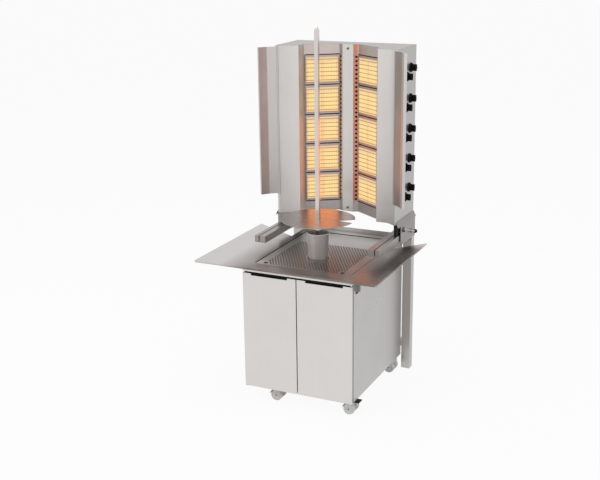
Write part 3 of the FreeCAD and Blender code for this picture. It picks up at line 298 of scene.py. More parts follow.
@dataclass(frozen=True)
class PlasticFinish:
    """Moulded plastic with a fine texture, also used for black strips of painted shade."""

    name: str
    slot: str
    colour: Colour
    roughness: tuple[float, float] = (0.42, 0.58)
    texture: float = 900.0
    relief: float = 0.00006
    gloss: float = 0.5

    def build(self) -> bpy.types.Material:
        """Build the material.

        Returns:
            The finished material.
        """
        graph = Graph(self.name)
        fine = graph.noise((self.texture,) * 3, 2.0)
        cloud = graph.noise((14.0, 14.0, 14.0), 3.0)
        colour = graph.tint(self.colour, graph.span(cloud, 0.0, 1.0), 0.9, 1.12)
        rough = graph.span(cloud, self.roughness[0], self.roughness[1])
        shader = graph.node("BsdfPrincipled", Base_Color=colour, Roughness=rough, Specular_IOR_Level=self.gloss,
                            Normal=graph.bump(fine, 0.4, self.relief))
        return graph.close(shader.outputs[0])


@dataclass(frozen=True)
class GlowFinish:
    """Glowing ceramic: pale yellow in the middle, warmer at the rims, with rows of fine flame holes."""

    name: str
    slot: str
    middle: Colour
    rim: Colour
    strength: float
    holes: tuple[float, float] = (150.0, 215.0)

    def build(self) -> bpy.types.Material:
        """Build the material.

        Returns:
            The finished material.
        """
        graph = Graph(self.name)
        face = graph.node("UVMap", {"uv_map": "face"}).outputs[0]
        split = graph.node("SeparateXYZ", Vector=face)
        across, along = split.outputs["X"], split.outputs["Y"]
        side = [graph.math("ABSOLUTE", graph.math("SUBTRACT", value, 0.5)) for value in (across, along)]
        edge = graph.math("MAXIMUM", side[0], side[1])
        patch = graph.noise((28.0, 28.0, 40.0), 3.0)
        reach = graph.math("MULTIPLY_ADD", patch, 0.22, edge)
        rim = graph.node("MapRange", {"interpolation_type": "SMOOTHSTEP"}, Value=reach, From_Min=0.40,
                         From_Max=0.62, To_Min=0.0, To_Max=1.0).outputs["Result"]
        glow = graph.mix(rim, self.middle + (1.0,), self.rim + (1.0,))
        waves = [graph.math("SINE", graph.math("MULTIPLY", value, count))
                 for value, count in zip((across, along), self.holes)]
        glow = graph.mix(graph.span(along, 0.0, 0.75, 0.70, 0.97), glow, (0.70, 0.56, 0.38, 1.0))
        holes = graph.math("GREATER_THAN", graph.math("MULTIPLY", waves[0], waves[1]), 0.35)
        glow = graph.mix(graph.math("MULTIPLY", holes, 0.22), glow, (0.88, 0.42, 0.10, 1.0))
        shader = graph.node("BsdfPrincipled", Base_Color=(0.16, 0.12, 0.08, 1.0), Roughness=0.8,
                            Emission_Color=glow, Emission_Strength=self.strength,
                            Normal=graph.bump(holes, 0.5, 0.0004))
        return graph.close(shader.outputs[0])


@dataclass(frozen=True)
class PaintFinish:
    """Machine paint with a faint orange-peel surface."""

    name: str
    slot: str
    colour: Colour

    def build(self) -> bpy.types.Material:
        """Build the material.

        Returns:
            The finished material.
        """
        graph = Graph(self.name)
        peel = graph.noise((380.0, 380.0, 380.0), 1.0)
        cloud = graph.noise((9.0, 9.0, 9.0), 3.0)
        colour = graph.tint(self.colour, graph.span(cloud, 0.0, 1.0), 0.88, 1.1)
        shader = graph.node("BsdfPrincipled", Base_Color=colour, Roughness=graph.span(cloud, 0.35, 0.5),
                            Normal=graph.bump(peel, 0.3, 0.0002))
        return graph.close(shader.outputs[0])


DOOR = SteelFinish("door sheet", "door_steel", (0.715, 0.69, 0.67), Grain.ALONG_Z, (0.34, 0.46), 0.85, 0.025)
# Cabinet sides, back, decks and switch ring: a darker copy of the door steel, painted shade.
CABINET_SHADE = SteelFinish("cabinet sheet", "sheet_steel", (0.535, 0.52, 0.505), Grain.ALONG_Z, (0.32, 0.44), 0.9, 0.04)
# Worktop: the dark brown tint over its middle and right, fading out towards the back and the left, is painted
# reflection of the dark head above.
TOP = SteelFinish("worktop sheet", "worktop_steel", (0.56, 0.54, 0.53), Grain.ALONG_X, (0.27, 0.34), 1.0, 0.03,
                  (0.145, 0.105, 0.09), (-0.36, -0.18), Axis.X, (Axis.Y, 0.33, 0.22))
# Drip basin: a much darker copy of the worktop steel, painted shade under the grid.
BASIN_SHADE = SteelFinish("basin sheet", "worktop_steel", (0.20, 0.19, 0.185), Grain.ALONG_X, (0.30, 0.42), 1.0, 0.08)
# Grid: the warm brown tint that grows towards the right and the front is painted reflection of the head above.
GRID = SteelFinish("perforated sheet", "grid_steel", (0.50, 0.48, 0.465), Grain.ALONG_X, (0.32, 0.42), 1.0, 0.04,
                   (0.20, 0.125, 0.105), (-0.12, 0.30), Axis.X, (Axis.Y, 0.20, -0.10))
HEAD = SteelFinish("head sheet", "head_steel", (0.64, 0.62, 0.60), Grain.ALONG_Z, (0.28, 0.40), 0.95, 0.04)
# Head floor, sides and back, and the roof: darker copies of the head steel, painted shade.
HEAD_FLANK_SHADE = SteelFinish("head side sheet", "head_steel", (0.47, 0.455, 0.44), Grain.ALONG_Z, (0.30, 0.42), 0.95, 0.04)
ROOF_SHADE = SteelFinish("head roof sheet", "head_steel", (0.37, 0.36, 0.35), Grain.ALONG_X, (0.30, 0.42), 0.95, 0.04)
CHEEK = SteelFinish("cheek sheet", "head_steel", (0.65, 0.625, 0.61), Grain.ALONG_Z, (0.44, 0.54), 0.95, 0.03)
# Left panel: the rosy tint that grows upwards is painted reflection of the burners' glow.
PANEL_LEFT = SteelFinish("left panel sheet", "head_steel", (0.56, 0.53, 0.515), Grain.ALONG_Z, (0.36, 0.46), 0.9,
                         0.05, (0.52, 0.40, 0.35), (0.9, 2.4))
# Right panel: the orange-red tint on a narrow strip beside the post is painted reflection of the burners' glow.
PANEL_RIGHT = SteelFinish("right panel sheet", "head_steel", (0.56, 0.53, 0.515), Grain.ALONG_Z, (0.36, 0.46), 0.9,
                          0.05, (0.62, 0.20, 0.11), (0.098, 0.102, 0.118, 0.124), Axis.X,
                          (Axis.Z, 0.93, 0.96))
# Left wing: the rosy tint on its outer leaf is painted reflection of the burners' glow.
WING_LEFT = SteelFinish("left wing sheet", "wing_steel", (0.55, 0.535, 0.52), Grain.ALONG_Z, (0.40, 0.50), 1.0,
                        0.03, (0.36, 0.26, 0.235), (-0.2975, -0.3010, -0.3265, -0.3290), Axis.X)
# Right wing: the darker, faintly warm band on its inner leaf is painted shade and painted reflection of the burners'
# glow.
WING_RIGHT = SteelFinish("right wing sheet", "wing_steel", (0.55, 0.535, 0.52), Grain.ALONG_Z, (0.40, 0.50), 1.0,
                         0.03, (0.36, 0.34, 0.33), (0.392, 0.397, 0.446, 0.449), Axis.X)
TUBE = SteelFinish("tube", "frame_steel", (0.50, 0.485, 0.47), Grain.ALONG_Z, (0.28, 0.40), 0.95, 0.05)
# Rails: the darker tint towards their front ends is painted shade under the head.
RAIL = SteelFinish("rail tube", "frame_steel", (0.50, 0.485, 0.47), Grain.ALONG_Y, (0.28, 0.40), 0.95, 0.05,
                   (0.33, 0.31, 0.295), (0.33, 0.26), Axis.Y)
# Carriage, and the screws of the centre post: a darker copy of the frame steel, painted shade.
CARRIAGE_SHADE = SteelFinish("carriage sheet", "frame_steel", (0.29, 0.275, 0.265), Grain.ALONG_Y, (0.28, 0.40), 0.95,
                       0.05)
# Burner pressings: the rosy tint that grows upwards is painted reflection of the tiles' glow.
BURNER = SteelFinish("burner pressing", "burner_metal", (0.50, 0.455, 0.44), Grain.NONE, (0.38, 0.52), 0.9,
                     0.10, (0.42, 0.33, 0.29), (0.6, 2.4))
# Guard wires: the orange emission is painted glow of the burners' light on them; the orange-brown colour adds painted
# reflection of that glow.
WIRE = SteelFinish("guard wire", "guard_wire", (0.34, 0.20, 0.12), Grain.NONE, (0.45, 0.6), 0.6, 0.15,
                   painted_glow=(0.20, 0.07, 0.02))
# Black strips of painted shade on the head's panels: in the joints, beside the post and behind the slots.
PANEL_SHADE = PlasticFinish("heat seal", "burner_metal", (0.030, 0.026, 0.030), (0.7, 0.85), gloss=0.15)
CUP = SteelFinish("cup", "cup_steel", (0.74, 0.72, 0.705), Grain.ALONG_Z, (0.48, 0.60), 0.9, 0.04)
SKEWER = SteelFinish("skewer bar", "skewer_steel", (0.66, 0.62, 0.60), Grain.ALONG_Z, (0.18, 0.28), 1.0, 0.05)
PLATE = SteelFinish("meat plate", "plate_steel", (0.33, 0.305, 0.29), Grain.ALONG_X, (0.24, 0.32), 1.0, 0.05)
MOTOR = PaintFinish("machine paint", "motor_paint", (0.045, 0.052, 0.06))
BLACK = PlasticFinish("black plastic", "black_plastic", (0.008, 0.008, 0.009), gloss=0.25)
# Black strips of painted shade in gaps, pockets and the slot round the grid, where the real parts lie in shade.
SHADE_BLACK = PlasticFinish("black painted_shade", "black_plastic", (0.010, 0.010, 0.010), (0.8, 0.95), gloss=0.15)
KNOB = PlasticFinish("knob thermoset", "knob_plastic", (0.006, 0.006, 0.007), (0.42, 0.55), 600.0, gloss=0.06)
SWITCH = PlasticFinish("switch plastic", "grey_plastic", (0.36, 0.355, 0.345), (0.35, 0.5))
CASTER = PlasticFinish("caster housing", "grey_plastic", (0.80, 0.79, 0.775), (0.35, 0.5))
TREAD = PlasticFinish("wheel tread", "wheel_plastic", (0.76, 0.75, 0.735), (0.5, 0.65), 500.0, 0.0001)
PIPE = SteelFinish("gas fittings", "gas_brass", (0.62, 0.46, 0.22), Grain.NONE, (0.25, 0.38), 1.0, 0.08)
CERAMIC = GlowFinish("glowing tile", "glowing_ceramic", (0.90, 0.71, 0.31), (0.84, 0.56, 0.27), 1.0)


class Palette:
    """Builds each finish once."""

    made: dict[str, bpy.types.Material] = {}

    @classmethod
    def of(cls, finish: object) -> bpy.types.Material:
        """Find or build a finish's material.

        Args:
            finish: One of the finishes above.

        Returns:
            Its material.
        """
        if finish.name not in cls.made:
            cls.made[finish.name] = finish.build()
        return cls.made[finish.name]


def frame_basis(direction: Vector) -> tuple[Vector, Vector]:
    """Find two unit vectors square to a direction.

    Args:
        direction: A unit vector.

    Returns:
        The two vectors, right-handed with the direction.
    """
    helper = Vector((0, 0, 1)) if abs(direction.z) < 0.9 else Vector((1, 0, 0))
    first = helper.cross(direction).normalized()
    return first, direction.cross(first)


class Piece:
    """A mesh piece in the making, in metres in the frame."""

    def __init__(self, name: str) -> None:
        """Start an empty piece.

        Args:
            name: The piece's name.
        """
        self.name = name
        self.bm = bmesh.new()

    def ring(self, points: list[Vector]) -> list[bmesh.types.BMVert]:
        """Add a loop of vertices.

        Args:
            points: Their places.

        Returns:
            The vertices.
        """
        return [self.bm.verts.new(point) for point in points]

    def bridge(self, first: list[bmesh.types.BMVert], last: list[bmesh.types.BMVert]) -> None:
        """Join two loops of equal length with quads.

        Args:
            first: The first loop.
            last: The second loop.
        """
        count = len(first)
        for index in range(count):
            after = (index + 1) % count
            self.bm.faces.new((first[index], first[after], last[after], last[index]))

    def loft(self, rings: list[list[Vector]], closed: bool = False) -> None:
        """Skin a row of loops.

        Args:
            rings: The loops, all of one length.
            closed: Whether the last joins the first; if not, both ends get a face.
        """
        made = [self.ring(points) for points in rings]
        for first, last in zip(made, made[1:]):
            self.bridge(first, last)
        if closed:
            self.bridge(made[-1], made[0])
        else:
            self.bm.faces.new(made[0][::-1])
            self.bm.faces.new(made[-1])

    def block(self, low: Vector, high: Vector) -> None:
        """Add a box.

        Args:
            low: Lowest corner.
            high: Highest corner.
        """
        floor = [Vector((x, y, low.z)) for x, y in
                 ((low.x, low.y), (high.x, low.y), (high.x, high.y), (low.x, high.y))]
        self.loft([floor, [Vector((p.x, p.y, high.z)) for p in floor]])

    def lathe(self, profile: list[tuple[float, float]], centre: Vector, axis: Axis, steps: int = 48,
              closed: bool = False, radii: list[float] | None = None) -> None:
        """Turn a profile.

        Args:
            profile: Radius and height pairs, in millimetres.
            centre: Where height is 0, in metres.
            axis: The turning axis.
            steps: Segments round.
            closed: Whether the profile is a closed loop.
            radii: One factor per segment that swells or pulls in the radius.
        """
        direction = Vector(axis.value)
        side, other = frame_basis(direction)
        rings = []
        for radius, height in profile:
            loop = []
            for index in range(steps):
                turn = 2 * math.pi * index / steps
                factor = radii[index % len(radii)] if radii else 1.0
                outward = side * math.cos(turn) + other * math.sin(turn)
                loop.append(centre + (outward * radius * factor + direction * height) * MM)
            rings.append(loop)
        self.loft(rings, closed)

    def rod(self, start: Vector, end: Vector, radius: float, steps: int = 12) -> None:
        """Add a round bar.

        Args:
            start: One end, in metres.
            end: The other end.
            radius: Millimetres.
            steps: Segments round.
        """
        direction = (end - start).normalized()
        side, other = frame_basis(direction)
        rings = []
        for centre in (start, end):
            rings.append([centre + (side * math.cos(2 * math.pi * i / steps)
                                    + other * math.sin(2 * math.pi * i / steps)) * radius * MM
                          for i in range(steps)])
        self.loft(rings)

    def move(self, matrix: Matrix) -> None:
        """Move everything in the piece.

        Args:
            matrix: The movement.
        """
        bmesh.ops.transform(self.bm, matrix=matrix, verts=self.bm.verts)

    def take(self, mesh: bpy.types.Mesh, matrix: Matrix) -> None:
        """Add a copy of a mesh.

        Args:
            mesh: The mesh to add.
            matrix: Where to put it.
        """
        copy = mesh.copy()
        copy.transform(matrix)
        self.bm.from_mesh(copy)
        bpy.data.meshes.remove(copy)

    def mesh(self, tidy: bool = True) -> bpy.types.Mesh:
        """Finish the mesh.

        Args:
            tidy: Whether to turn all faces outwards.

        Returns:
            The mesh.
        """
        if tidy:
            bmesh.ops.recalc_face_normals(self.bm, faces=self.bm.faces)
        made = bpy.data.meshes.new(self.name)
        self.bm.to_mesh(made)
        self.bm.free()
        return made

    def done(self, finish: object, body: str, nodes: tuple[str, ...] = (), edge: float = 0.0,
             tidy: bool = True, sharp: float = 35.0) -> bpy.types.Object:
        """Finish the piece and fix it to its body.

        Args:
            finish: Its finish.
            body: The body that it moves with.
            nodes: The frame's nodes that it stands for.
            edge: Width of the rounded edges, in millimetres; 0 leaves them.
            tidy: Whether to turn all faces outwards.
            sharp: Edges sharper than this many degrees stay crisp.

        Returns:
            The finished object.
        """
        return finish_object(self.mesh(tidy), self.name, finish, body, nodes, edge, sharp)


def finish_object(mesh: bpy.types.Mesh, name: str, finish: object, body: str, nodes: tuple[str, ...],
                  edge: float, sharp: float) -> bpy.types.Object:
    """Round the edges, dress a mesh and fix it to its body.

    Args:
        mesh: The finished mesh.
        name: The piece's name.
        finish: Its finish.
        body: The body that it moves with.
        nodes: The frame's nodes that it stands for.
        edge: Width of the rounded edges, in millimetres; 0 leaves them.
        sharp: Edges sharper than this many degrees stay crisp.

    Returns:
        The finished object.
    """
    made = bpy.data.objects.new(name, mesh)
    bpy.context.scene.collection.objects.link(made)
    mesh.shade_smooth()
    if edge:
        bevel = made.modifiers.new("edge", "BEVEL")
        bevel.width = edge * MM
        bevel.segments = 2
        bevel.limit_method = "ANGLE"
        bevel.angle_limit = math.radians(40)
        bevel.harden_normals = False
        weight = made.modifiers.new("weight", "WEIGHTED_NORMAL")
        weight.keep_sharp = True
        flatten(made)
    else:
        mesh.set_sharp_from_angle(angle=math.radians(sharp))
    made.data.materials.clear()
    made.data.materials.append(Palette.of(finish))
    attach(made, body)
    if nodes:
        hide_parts(*nodes)
    LOG.info("%s rides on %s, %d faces", name, body, len(made.data.polygons))
    return made


def flatten(made: bpy.types.Object) -> None:
    """Turn an object's modifiers into plain mesh.

    Args:
        made: The object.
    """
    bpy.context.view_layer.update()
    evaluated = made.evaluated_get(bpy.context.evaluated_depsgraph_get())
    mesh = bpy.data.meshes.new_from_object(evaluated)
    made.modifiers.clear()
    made.data = mesh


def skin(node: str, finish: object, edge: float = 0.35) -> bpy.types.Object:
    """Stand for a node with a copy whose edges are rounded.

    Args:
        node: The frame's node.
        finish: Its finish.
        edge: Width of the rounded edges, in millimetres.

    Returns:
        The finished object.
    """
    piece = Piece(node + "_skin")
    source = frame["nodes"][node]
    piece.bm.from_mesh(source.data)
    bmesh.ops.remove_doubles(piece.bm, verts=piece.bm.verts, dist=0.000004)
    bmesh.ops.dissolve_limit(piece.bm, angle_limit=math.radians(0.5), verts=piece.bm.verts,
                             edges=piece.bm.edges)
    return piece.done(finish, source["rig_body"], (node,), edge, tidy=False)


class Tree:
    """A geometry-nodes tree with named inputs."""

    def __init__(self, name: str, inputs: dict[str, str]) -> None:
        """Start a tree.

        Args:
            name: The tree's name.
            inputs: Socket kind by input name.
        """
        self.tree = bpy.data.node_groups.new(name, "GeometryNodeTree")
        self.tree.interface.new_socket("Geometry", in_out="INPUT", socket_type="NodeSocketGeometry")
        self.tree.interface.new_socket("Geometry", in_out="OUTPUT", socket_type="NodeSocketGeometry")
        for title, kind in inputs.items():
            self.tree.interface.new_socket(title, in_out="INPUT", socket_type="NodeSocket" + kind)
        self.given = self.tree.nodes.new("NodeGroupInput").outputs
        self.result = self.tree.nodes.new("NodeGroupOutput")

    def node(self, kind: str, settings: dict | None = None, **inputs: object) -> bpy.types.Node:
        """Add a node.

        Args:
            kind: The node's full type.
            settings: Properties to set on it.
            inputs: Inputs by name, or by number after an n; sockets are linked.

        Returns:
            The node.
        """
        made = self.tree.nodes.new(kind)
        for key, value in (settings or {}).items():
            setattr(made, key, value)
        for key, value in inputs.items():
            found = int(key[1:]) if key[0] == "n" and key[1:].isdigit() else key.replace("_", " ")
            if isinstance(value, bpy.types.NodeSocket):
                self.tree.links.new(value, made.inputs[found])
            else:
                made.inputs[found].default_value = value
        return made

    def close(self, geometry: bpy.types.NodeSocket) -> None:
        """End the tree with real geometry and its material.

        Args:
            geometry: The instances to output.
        """
        real = self.node("GeometryNodeRealizeInstances", Geometry=geometry).outputs[0]
        dressed = self.node("GeometryNodeSetMaterial", Geometry=real, Material=self.given["Material"])
        self.tree.links.new(dressed.outputs[0], self.result.inputs[0])

    def bake(self, values: dict[str, object]) -> bpy.types.Mesh:
        """Run the tree.

        Args:
            values: Value of each input by name.

        Returns:
            The mesh that it makes.
        """
        holder = bpy.data.objects.new("holder", bpy.data.meshes.new("holder"))
        bpy.context.scene.collection.objects.link(holder)
        modifier = holder.modifiers.new("repeat", "NODES")
        modifier.node_group = self.tree
        for socket in self.tree.interface.items_tree:
            if socket.in_out == "INPUT" and socket.name in values:
                modifier[socket.identifier] = values[socket.name]
        bpy.context.view_layer.update()
        evaluated = holder.evaluated_get(bpy.context.evaluated_depsgraph_get())
        mesh = bpy.data.meshes.new_from_object(evaluated)
        bpy.data.objects.remove(holder)
        return mesh


def row_tree() -> Tree:
    """Build the tree that repeats a shape along a line, and the line along another.

    Returns:
        The tree.
    """
    tree = Tree("rows of a shape", {"Shape": "Object", "Count": "Int", "Step": "Vector", "Rows": "Int",
                                    "Row step": "Vector", "Shift": "Vector", "Material": "Material"})
    given = tree.given
    rows = tree.node("GeometryNodeMeshLine", Count=given["Rows"], Offset=given["Row step"])
    odd = tree.node("ShaderNodeMath", {"operation": "MODULO"}, n0=tree.node("GeometryNodeInputIndex").outputs[0],
                    n1=2.0)
    shift = tree.node("ShaderNodeVectorMath", {"operation": "SCALE"}, n0=given["Shift"], Scale=odd.outputs[0])
    moved = tree.node("GeometryNodeSetPosition", Geometry=rows.outputs[0], Offset=shift.outputs[0])
    line = tree.node("GeometryNodeMeshLine", Count=given["Count"], Offset=given["Step"])
    field = tree.node("GeometryNodeInstanceOnPoints", Points=moved.outputs[0], Instance=line.outputs[0])
    points = tree.node("GeometryNodeRealizeInstances", Geometry=field.outputs[0])
    shape = tree.node("GeometryNodeObjectInfo", Object=given["Shape"])
    copies = tree.node("GeometryNodeInstanceOnPoints", Points=points.outputs[0],
                       Instance=shape.outputs["Geometry"])
    tree.close(copies.outputs[0])
    return tree


def sheet_tree() -> Tree:
    """Build the tree that lays staggered cells and leaves out those near three holes.

    Returns:
        The tree.
    """
    inputs = {"Cell": "Object", "Columns": "Int", "Rows": "Int", "Pitch": "Float", "Row pitch": "Float",
              "Material": "Material"}
    for name in ("Cup", "Left finger", "Right finger"):
        inputs[name] = "Vector"
        inputs[name + " clearance"] = "Float"
    tree = Tree("staggered cells", inputs)
    given = tree.given
    row_step = tree.node("ShaderNodeCombineXYZ", Y=given["Row pitch"])
    rows = tree.node("GeometryNodeMeshLine", Count=given["Rows"], Offset=row_step.outputs[0])
    odd = tree.node("ShaderNodeMath", {"operation": "MODULO"}, n0=tree.node("GeometryNodeInputIndex").outputs[0],
                    n1=2.0)
    half = tree.node("ShaderNodeMath", {"operation": "MULTIPLY"}, n0=given["Pitch"], n1=0.5)
    slide = tree.node("ShaderNodeMath", {"operation": "MULTIPLY"}, n0=half.outputs[0], n1=odd.outputs[0])
    shift = tree.node("ShaderNodeCombineXYZ", X=slide.outputs[0])
    moved = tree.node("GeometryNodeSetPosition", Geometry=rows.outputs[0], Offset=shift.outputs[0])
    step = tree.node("ShaderNodeCombineXYZ", X=given["Pitch"])
    line = tree.node("GeometryNodeMeshLine", Count=given["Columns"], Offset=step.outputs[0])
    field = tree.node("GeometryNodeInstanceOnPoints", Points=moved.outputs[0], Instance=line.outputs[0])
    points = tree.node("GeometryNodeRealizeInstances", Geometry=field.outputs[0]).outputs[0]
    place = tree.node("GeometryNodeInputPosition").outputs[0]
    for name in ("Cup", "Left finger", "Right finger"):
        away = tree.node("ShaderNodeVectorMath", {"operation": "DISTANCE"}, n0=place, n1=given[name])
        near = tree.node("FunctionNodeCompare", {"data_type": "FLOAT", "operation": "LESS_THAN"},
                         n0=away.outputs["Value"], n1=given[name + " clearance"])
        points = tree.node("GeometryNodeDeleteGeometry", {"domain": "POINT"}, Geometry=points,
                           Selection=near.outputs[0]).outputs[0]
    shape = tree.node("GeometryNodeObjectInfo", Object=given["Cell"])
    copies = tree.node("GeometryNodeInstanceOnPoints", Points=points, Instance=shape.outputs["Geometry"])
    tree.close(copies.outputs[0])
    return tree


def shape_object(piece: Piece, tidy: bool = True) -> bpy.types.Object:
    """Make a hidden object for a tree to repeat.

    Args:
        piece: Its mesh in the making.
        tidy: Whether to turn all faces outwards.

    Returns:
        The object, in no collection.
    """
    return bpy.data.objects.new(piece.name, piece.mesh(tidy))


class Repeats:
    """Holds the trees that all the sub-assemblies share."""

    rows: Tree = None
    sheet: Tree = None

    @classmethod
    def row(cls, shape: bpy.types.Object, count: int, step: Point, rows: int = 1, row_step: Point = (0, 0, 0),
            shift: Point = (0, 0, 0)) -> bpy.types.Mesh:
        """Repeat a shape in rows.

        Args:
            shape: The object to repeat.
            count: How many in a row.
            step: From one to the next, in metres.
            rows: How many rows.
            row_step: From one row to the next, in metres.
            shift: How far every second row is moved, in metres.

        Returns:
            The mesh, with its first copy at the origin.
        """
        cls.rows = cls.rows or row_tree()
        return cls.rows.bake({"Shape": shape, "Count": count, "Step": step, "Rows": rows, "Row step": row_step,
                              "Shift": shift})


def screw_head(radius: float, axis: Axis, sign: float = 1.0) -> bpy.types.Object:
    """Make a domed screw head with a hexagon socket.

    Args:
        radius: Millimetres.
        axis: The screw's axis.
        sign: Which way along the axis the head points.

    Returns:
        The object.
    """
    piece = Piece("screw head")
    height = radius * 0.55 * sign
    profile = [(radius, 0), (radius, height * 0.35), (radius * 0.86, height * 0.8), (radius * 0.6, height),
               (radius * 0.45, height), (radius * 0.4, height * 0.45)]
    piece.lathe(profile, Vector((0, 0, 0)), axis, 12)
    return shape_object(piece)


@dataclass
class Screws:
    """Rows of screw heads on one body."""

    name: str
    body: str
    finish: object
    piece: Piece = field(init=False)

    def __post_init__(self) -> None:
        """Start the piece."""
        self.piece = Piece(self.name)

    def row(self, radius: float, axis: Axis, sign: float, start: Vector, count: int, step: Point,
            rows: int = 1, row_step: Point = (0, 0, 0)) -> None:
        """Add rows of heads.

        Args:
            radius: Head radius, in millimetres.
            axis: The screws' axis.
            sign: Which way the heads point.
            start: The first screw, in metres.
            count: How many in a row.
            step: Step along the row, in metres.
            rows: How many rows.
            row_step: Step between rows, in metres.
        """
        mesh = Repeats.row(screw_head(radius, axis, sign), count, step, rows, row_step)
        self.piece.take(mesh, Matrix.Translation(start))

    def done(self) -> bpy.types.Object:
        """Finish the screws.

        Returns:
            The object.
        """
        return self.piece.done(self.finish, self.body)


@dataclass
class Cabinet:
    """The wheeled cabinet under the worktop."""

    half_width: float = 300.0
    depth: float = 710.0
    bottom: float = 80.0
    switch_y: float = 66.0
    switch_z: float = 688.0
    gear_bottom: float = 593.5
    door_top: float = 700.0
    grip: tuple[float, float] = (49.75, 252.75)
    pocket: float = 672.0

    def build(self) -> None:
        """Build and dress the cabinet."""
        for node in ("cabinet_side_left", "cabinet_side_right"):
            skin(node, CABINET_SHADE, 0.4)
        for node in ("cabinet_back", "cabinet_decks"):
            skin(node, CABINET_SHADE, 0.25)
        skin("front_rail", DOOR, 0.5)
        for node in ("door_left", "door_right"):
            skin(node, DOOR, 0.6)
        skin("cable_gland", BLACK, 0.6)
        self.build_seals()
        self.build_switch()
        self.build_rivets()
        self.build_frame()
        self.build_gearmotor()

    def build_seals(self) -> None:
        """Build black strips of painted shade on the doors' top edges, in their grip pockets and along their outer
        edges, and on the cabinet's front beside the doors.
        """
        gate, top, pocket = self.grip, self.door_top, self.pocket
        for side, body in ((-1, "door_left"), (1, "door_right")):
            seal = Piece(body + "_seals")
            # Each block is a black strip of painted shade: door top edges, back and floor of the grip pocket, door
            # outer edge.
            blocks = [((3.5, 1.2, top), (gate[0] - 2, 17.0, top + 0.9)),
                      ((gate[1] + 2, 1.2, top), (299.0, 17.0, top + 0.9)),
                      ((gate[0] - 2, 13.3, top), (gate[1] + 2, 17.0, top + 0.9)),
                      ((gate[0] + 0.2, 12.0, pocket + 0.2), (gate[1] - 0.2, 12.9, top - 0.1)),
                      ((gate[0] + 0.2, 1.7, pocket + 0.1), (gate[1] - 0.2, 12.9, pocket + 1.0)),
                      ((299.7, 12.5, self.bottom + 2), (300.15, 18.05, top - 2))]
            for low, high in blocks:
                first, last = at(*low), at(*high)
                if side < 0:
                    first, last = at(-high[0], low[1], low[2]), at(-low[0], high[1], high[2])
                seal.block(first, last)
            seal.done(SHADE_BLACK, body)
        # Painted shade in the gaps between the doors and the cabinet's front.
        seal = Piece("cabinet_seals")
        for first, last in ((283.0, 299.8), (-299.8, -283.0)):
            seal.block(at(first, 20.55, self.bottom + 2), at(last, 21.05, self.door_top + 6))
        seal.done(SHADE_BLACK, "base")

    def build_switch(self) -> None:
        """Build the rotary switch and its ring."""
        centre = at(self.half_width, self.switch_y, self.switch_z)
        ring = Piece("switch_ring")
        ring.lathe([(39.6, -5.8), (39.6, 0.2), (40.2, 1.2), (41.6, 1.6), (43.0, 1.2), (43.6, 0.2), (43.6, -1.0)],
                   centre, Axis.X, 64, closed=True)
        ring.done(CABINET_SHADE, "base")
        knob = Piece("switch_knob")
        base = centre + Vector((-5.5 * MM, 0, 0))
        knob.lathe([(4.0, -18), (4.0, 0), (23.4, 0), (24.0, 0.8), (24.0, 6.4), (22.6, 8.6), (20.0, 9.0)], base,
                   Axis.X, 48)
        loops = []
        for depth, inset in ((0.5, 0.0), (20.0, 0.6), (22.4, 2.2), (23.0, 4.4)):
            length, width = 29.0 - inset, 7.0 - inset
            loop = []
            for index in range(24):
                turn = 2 * math.pi * index / 24
                y = width * max(-1, min(1, 1.25 * math.cos(turn)))
                z = length * max(-1, min(1, 1.08 * math.sin(turn)))
                loop.append(base + Vector((depth, y, z)) * MM)
            loops.append(loop)
        knob.loft(loops)
        knob.done(SWITCH, "switch", ("switch_handle",), 0.5)

    def build_rivets(self) -> None:
        """Build the faint rivets that hold the shelf, and the screws of the back."""
        rivets = Screws("shelf_rivets", "base", CABINET_SHADE)
        for sign in (-1, 1):
            for y in (135, 225, 335, 430):
                rivets.row(2.6, Axis.X, sign, at(sign * self.half_width, y, 512), 1, (0, 0, 0))
            rivets.row(2.6, Axis.X, sign, at(sign * self.half_width, 148, 308), 1, (0, 0, 0))
            rivets.row(2.6, Axis.X, sign, at(sign * self.half_width, 695, 120), 5, (0, 0, 0.115))
        rivets.row(3.0, Axis.Y, 1, at(-288, self.depth, 110), 2, (0.576, 0, 0), 5, (0, 0, 0.105))
        rivets.done()

    def build_frame(self) -> None:
        """Dress the rear posts, the rails and their end caps."""
        for node in ("frame_left", "frame_right"):
            skin(node, RAIL, 0.9)
        skin("frame_crossbars", TUBE, 0.8)
        bolts = Screws("post_bolts", "base", TUBE)
        for sign in (-1, 1):
            bolts.row(5.0, Axis.Y, 1, at(sign * 328, 755, 160), 2, (0, 0, 0.47))
        bolts.done()

    def build_gearmotor(self) -> None:
        """Build the gearmotor under the basin."""
        top = self.gear_bottom + 90.0
        case = Piece("gearmotor_case")
        case.block(at(-55, 215, self.gear_bottom), at(55, 325, top))
        middle = at(55, 270, self.gear_bottom + 45)
        case.lathe([(30, -2), (43, 2), (43, 10), (40, 12), (40, 96), (43, 98), (43, 106), (42, 138), (34, 140)],
                   middle, Axis.X, 40)
        case.block(at(90, 212, self.gear_bottom + 27), at(160, 240, self.gear_bottom + 63))
        for x in (-40, 40):
            for y in (230, 310):
                case.lathe([(6, -2), (6, 2), (4, 3)], at(x, y, self.gear_bottom), Axis.Z, 6)
        rib = Piece("cooling rib")
        rib.lathe([(39.5, -1.2), (42.8, -0.8), (42.8, 0.8), (39.5, 1.2)], Vector((0, 0, 0)), Axis.X, 32, closed=True)
        ribs = Repeats.row(shape_object(rib), 14, (0.006, 0, 0))
        case.take(ribs, Matrix.Translation(middle + Vector((0.015, 0, 0))))
        case.done(MOTOR, "base", ("gearmotor",), 1.2)


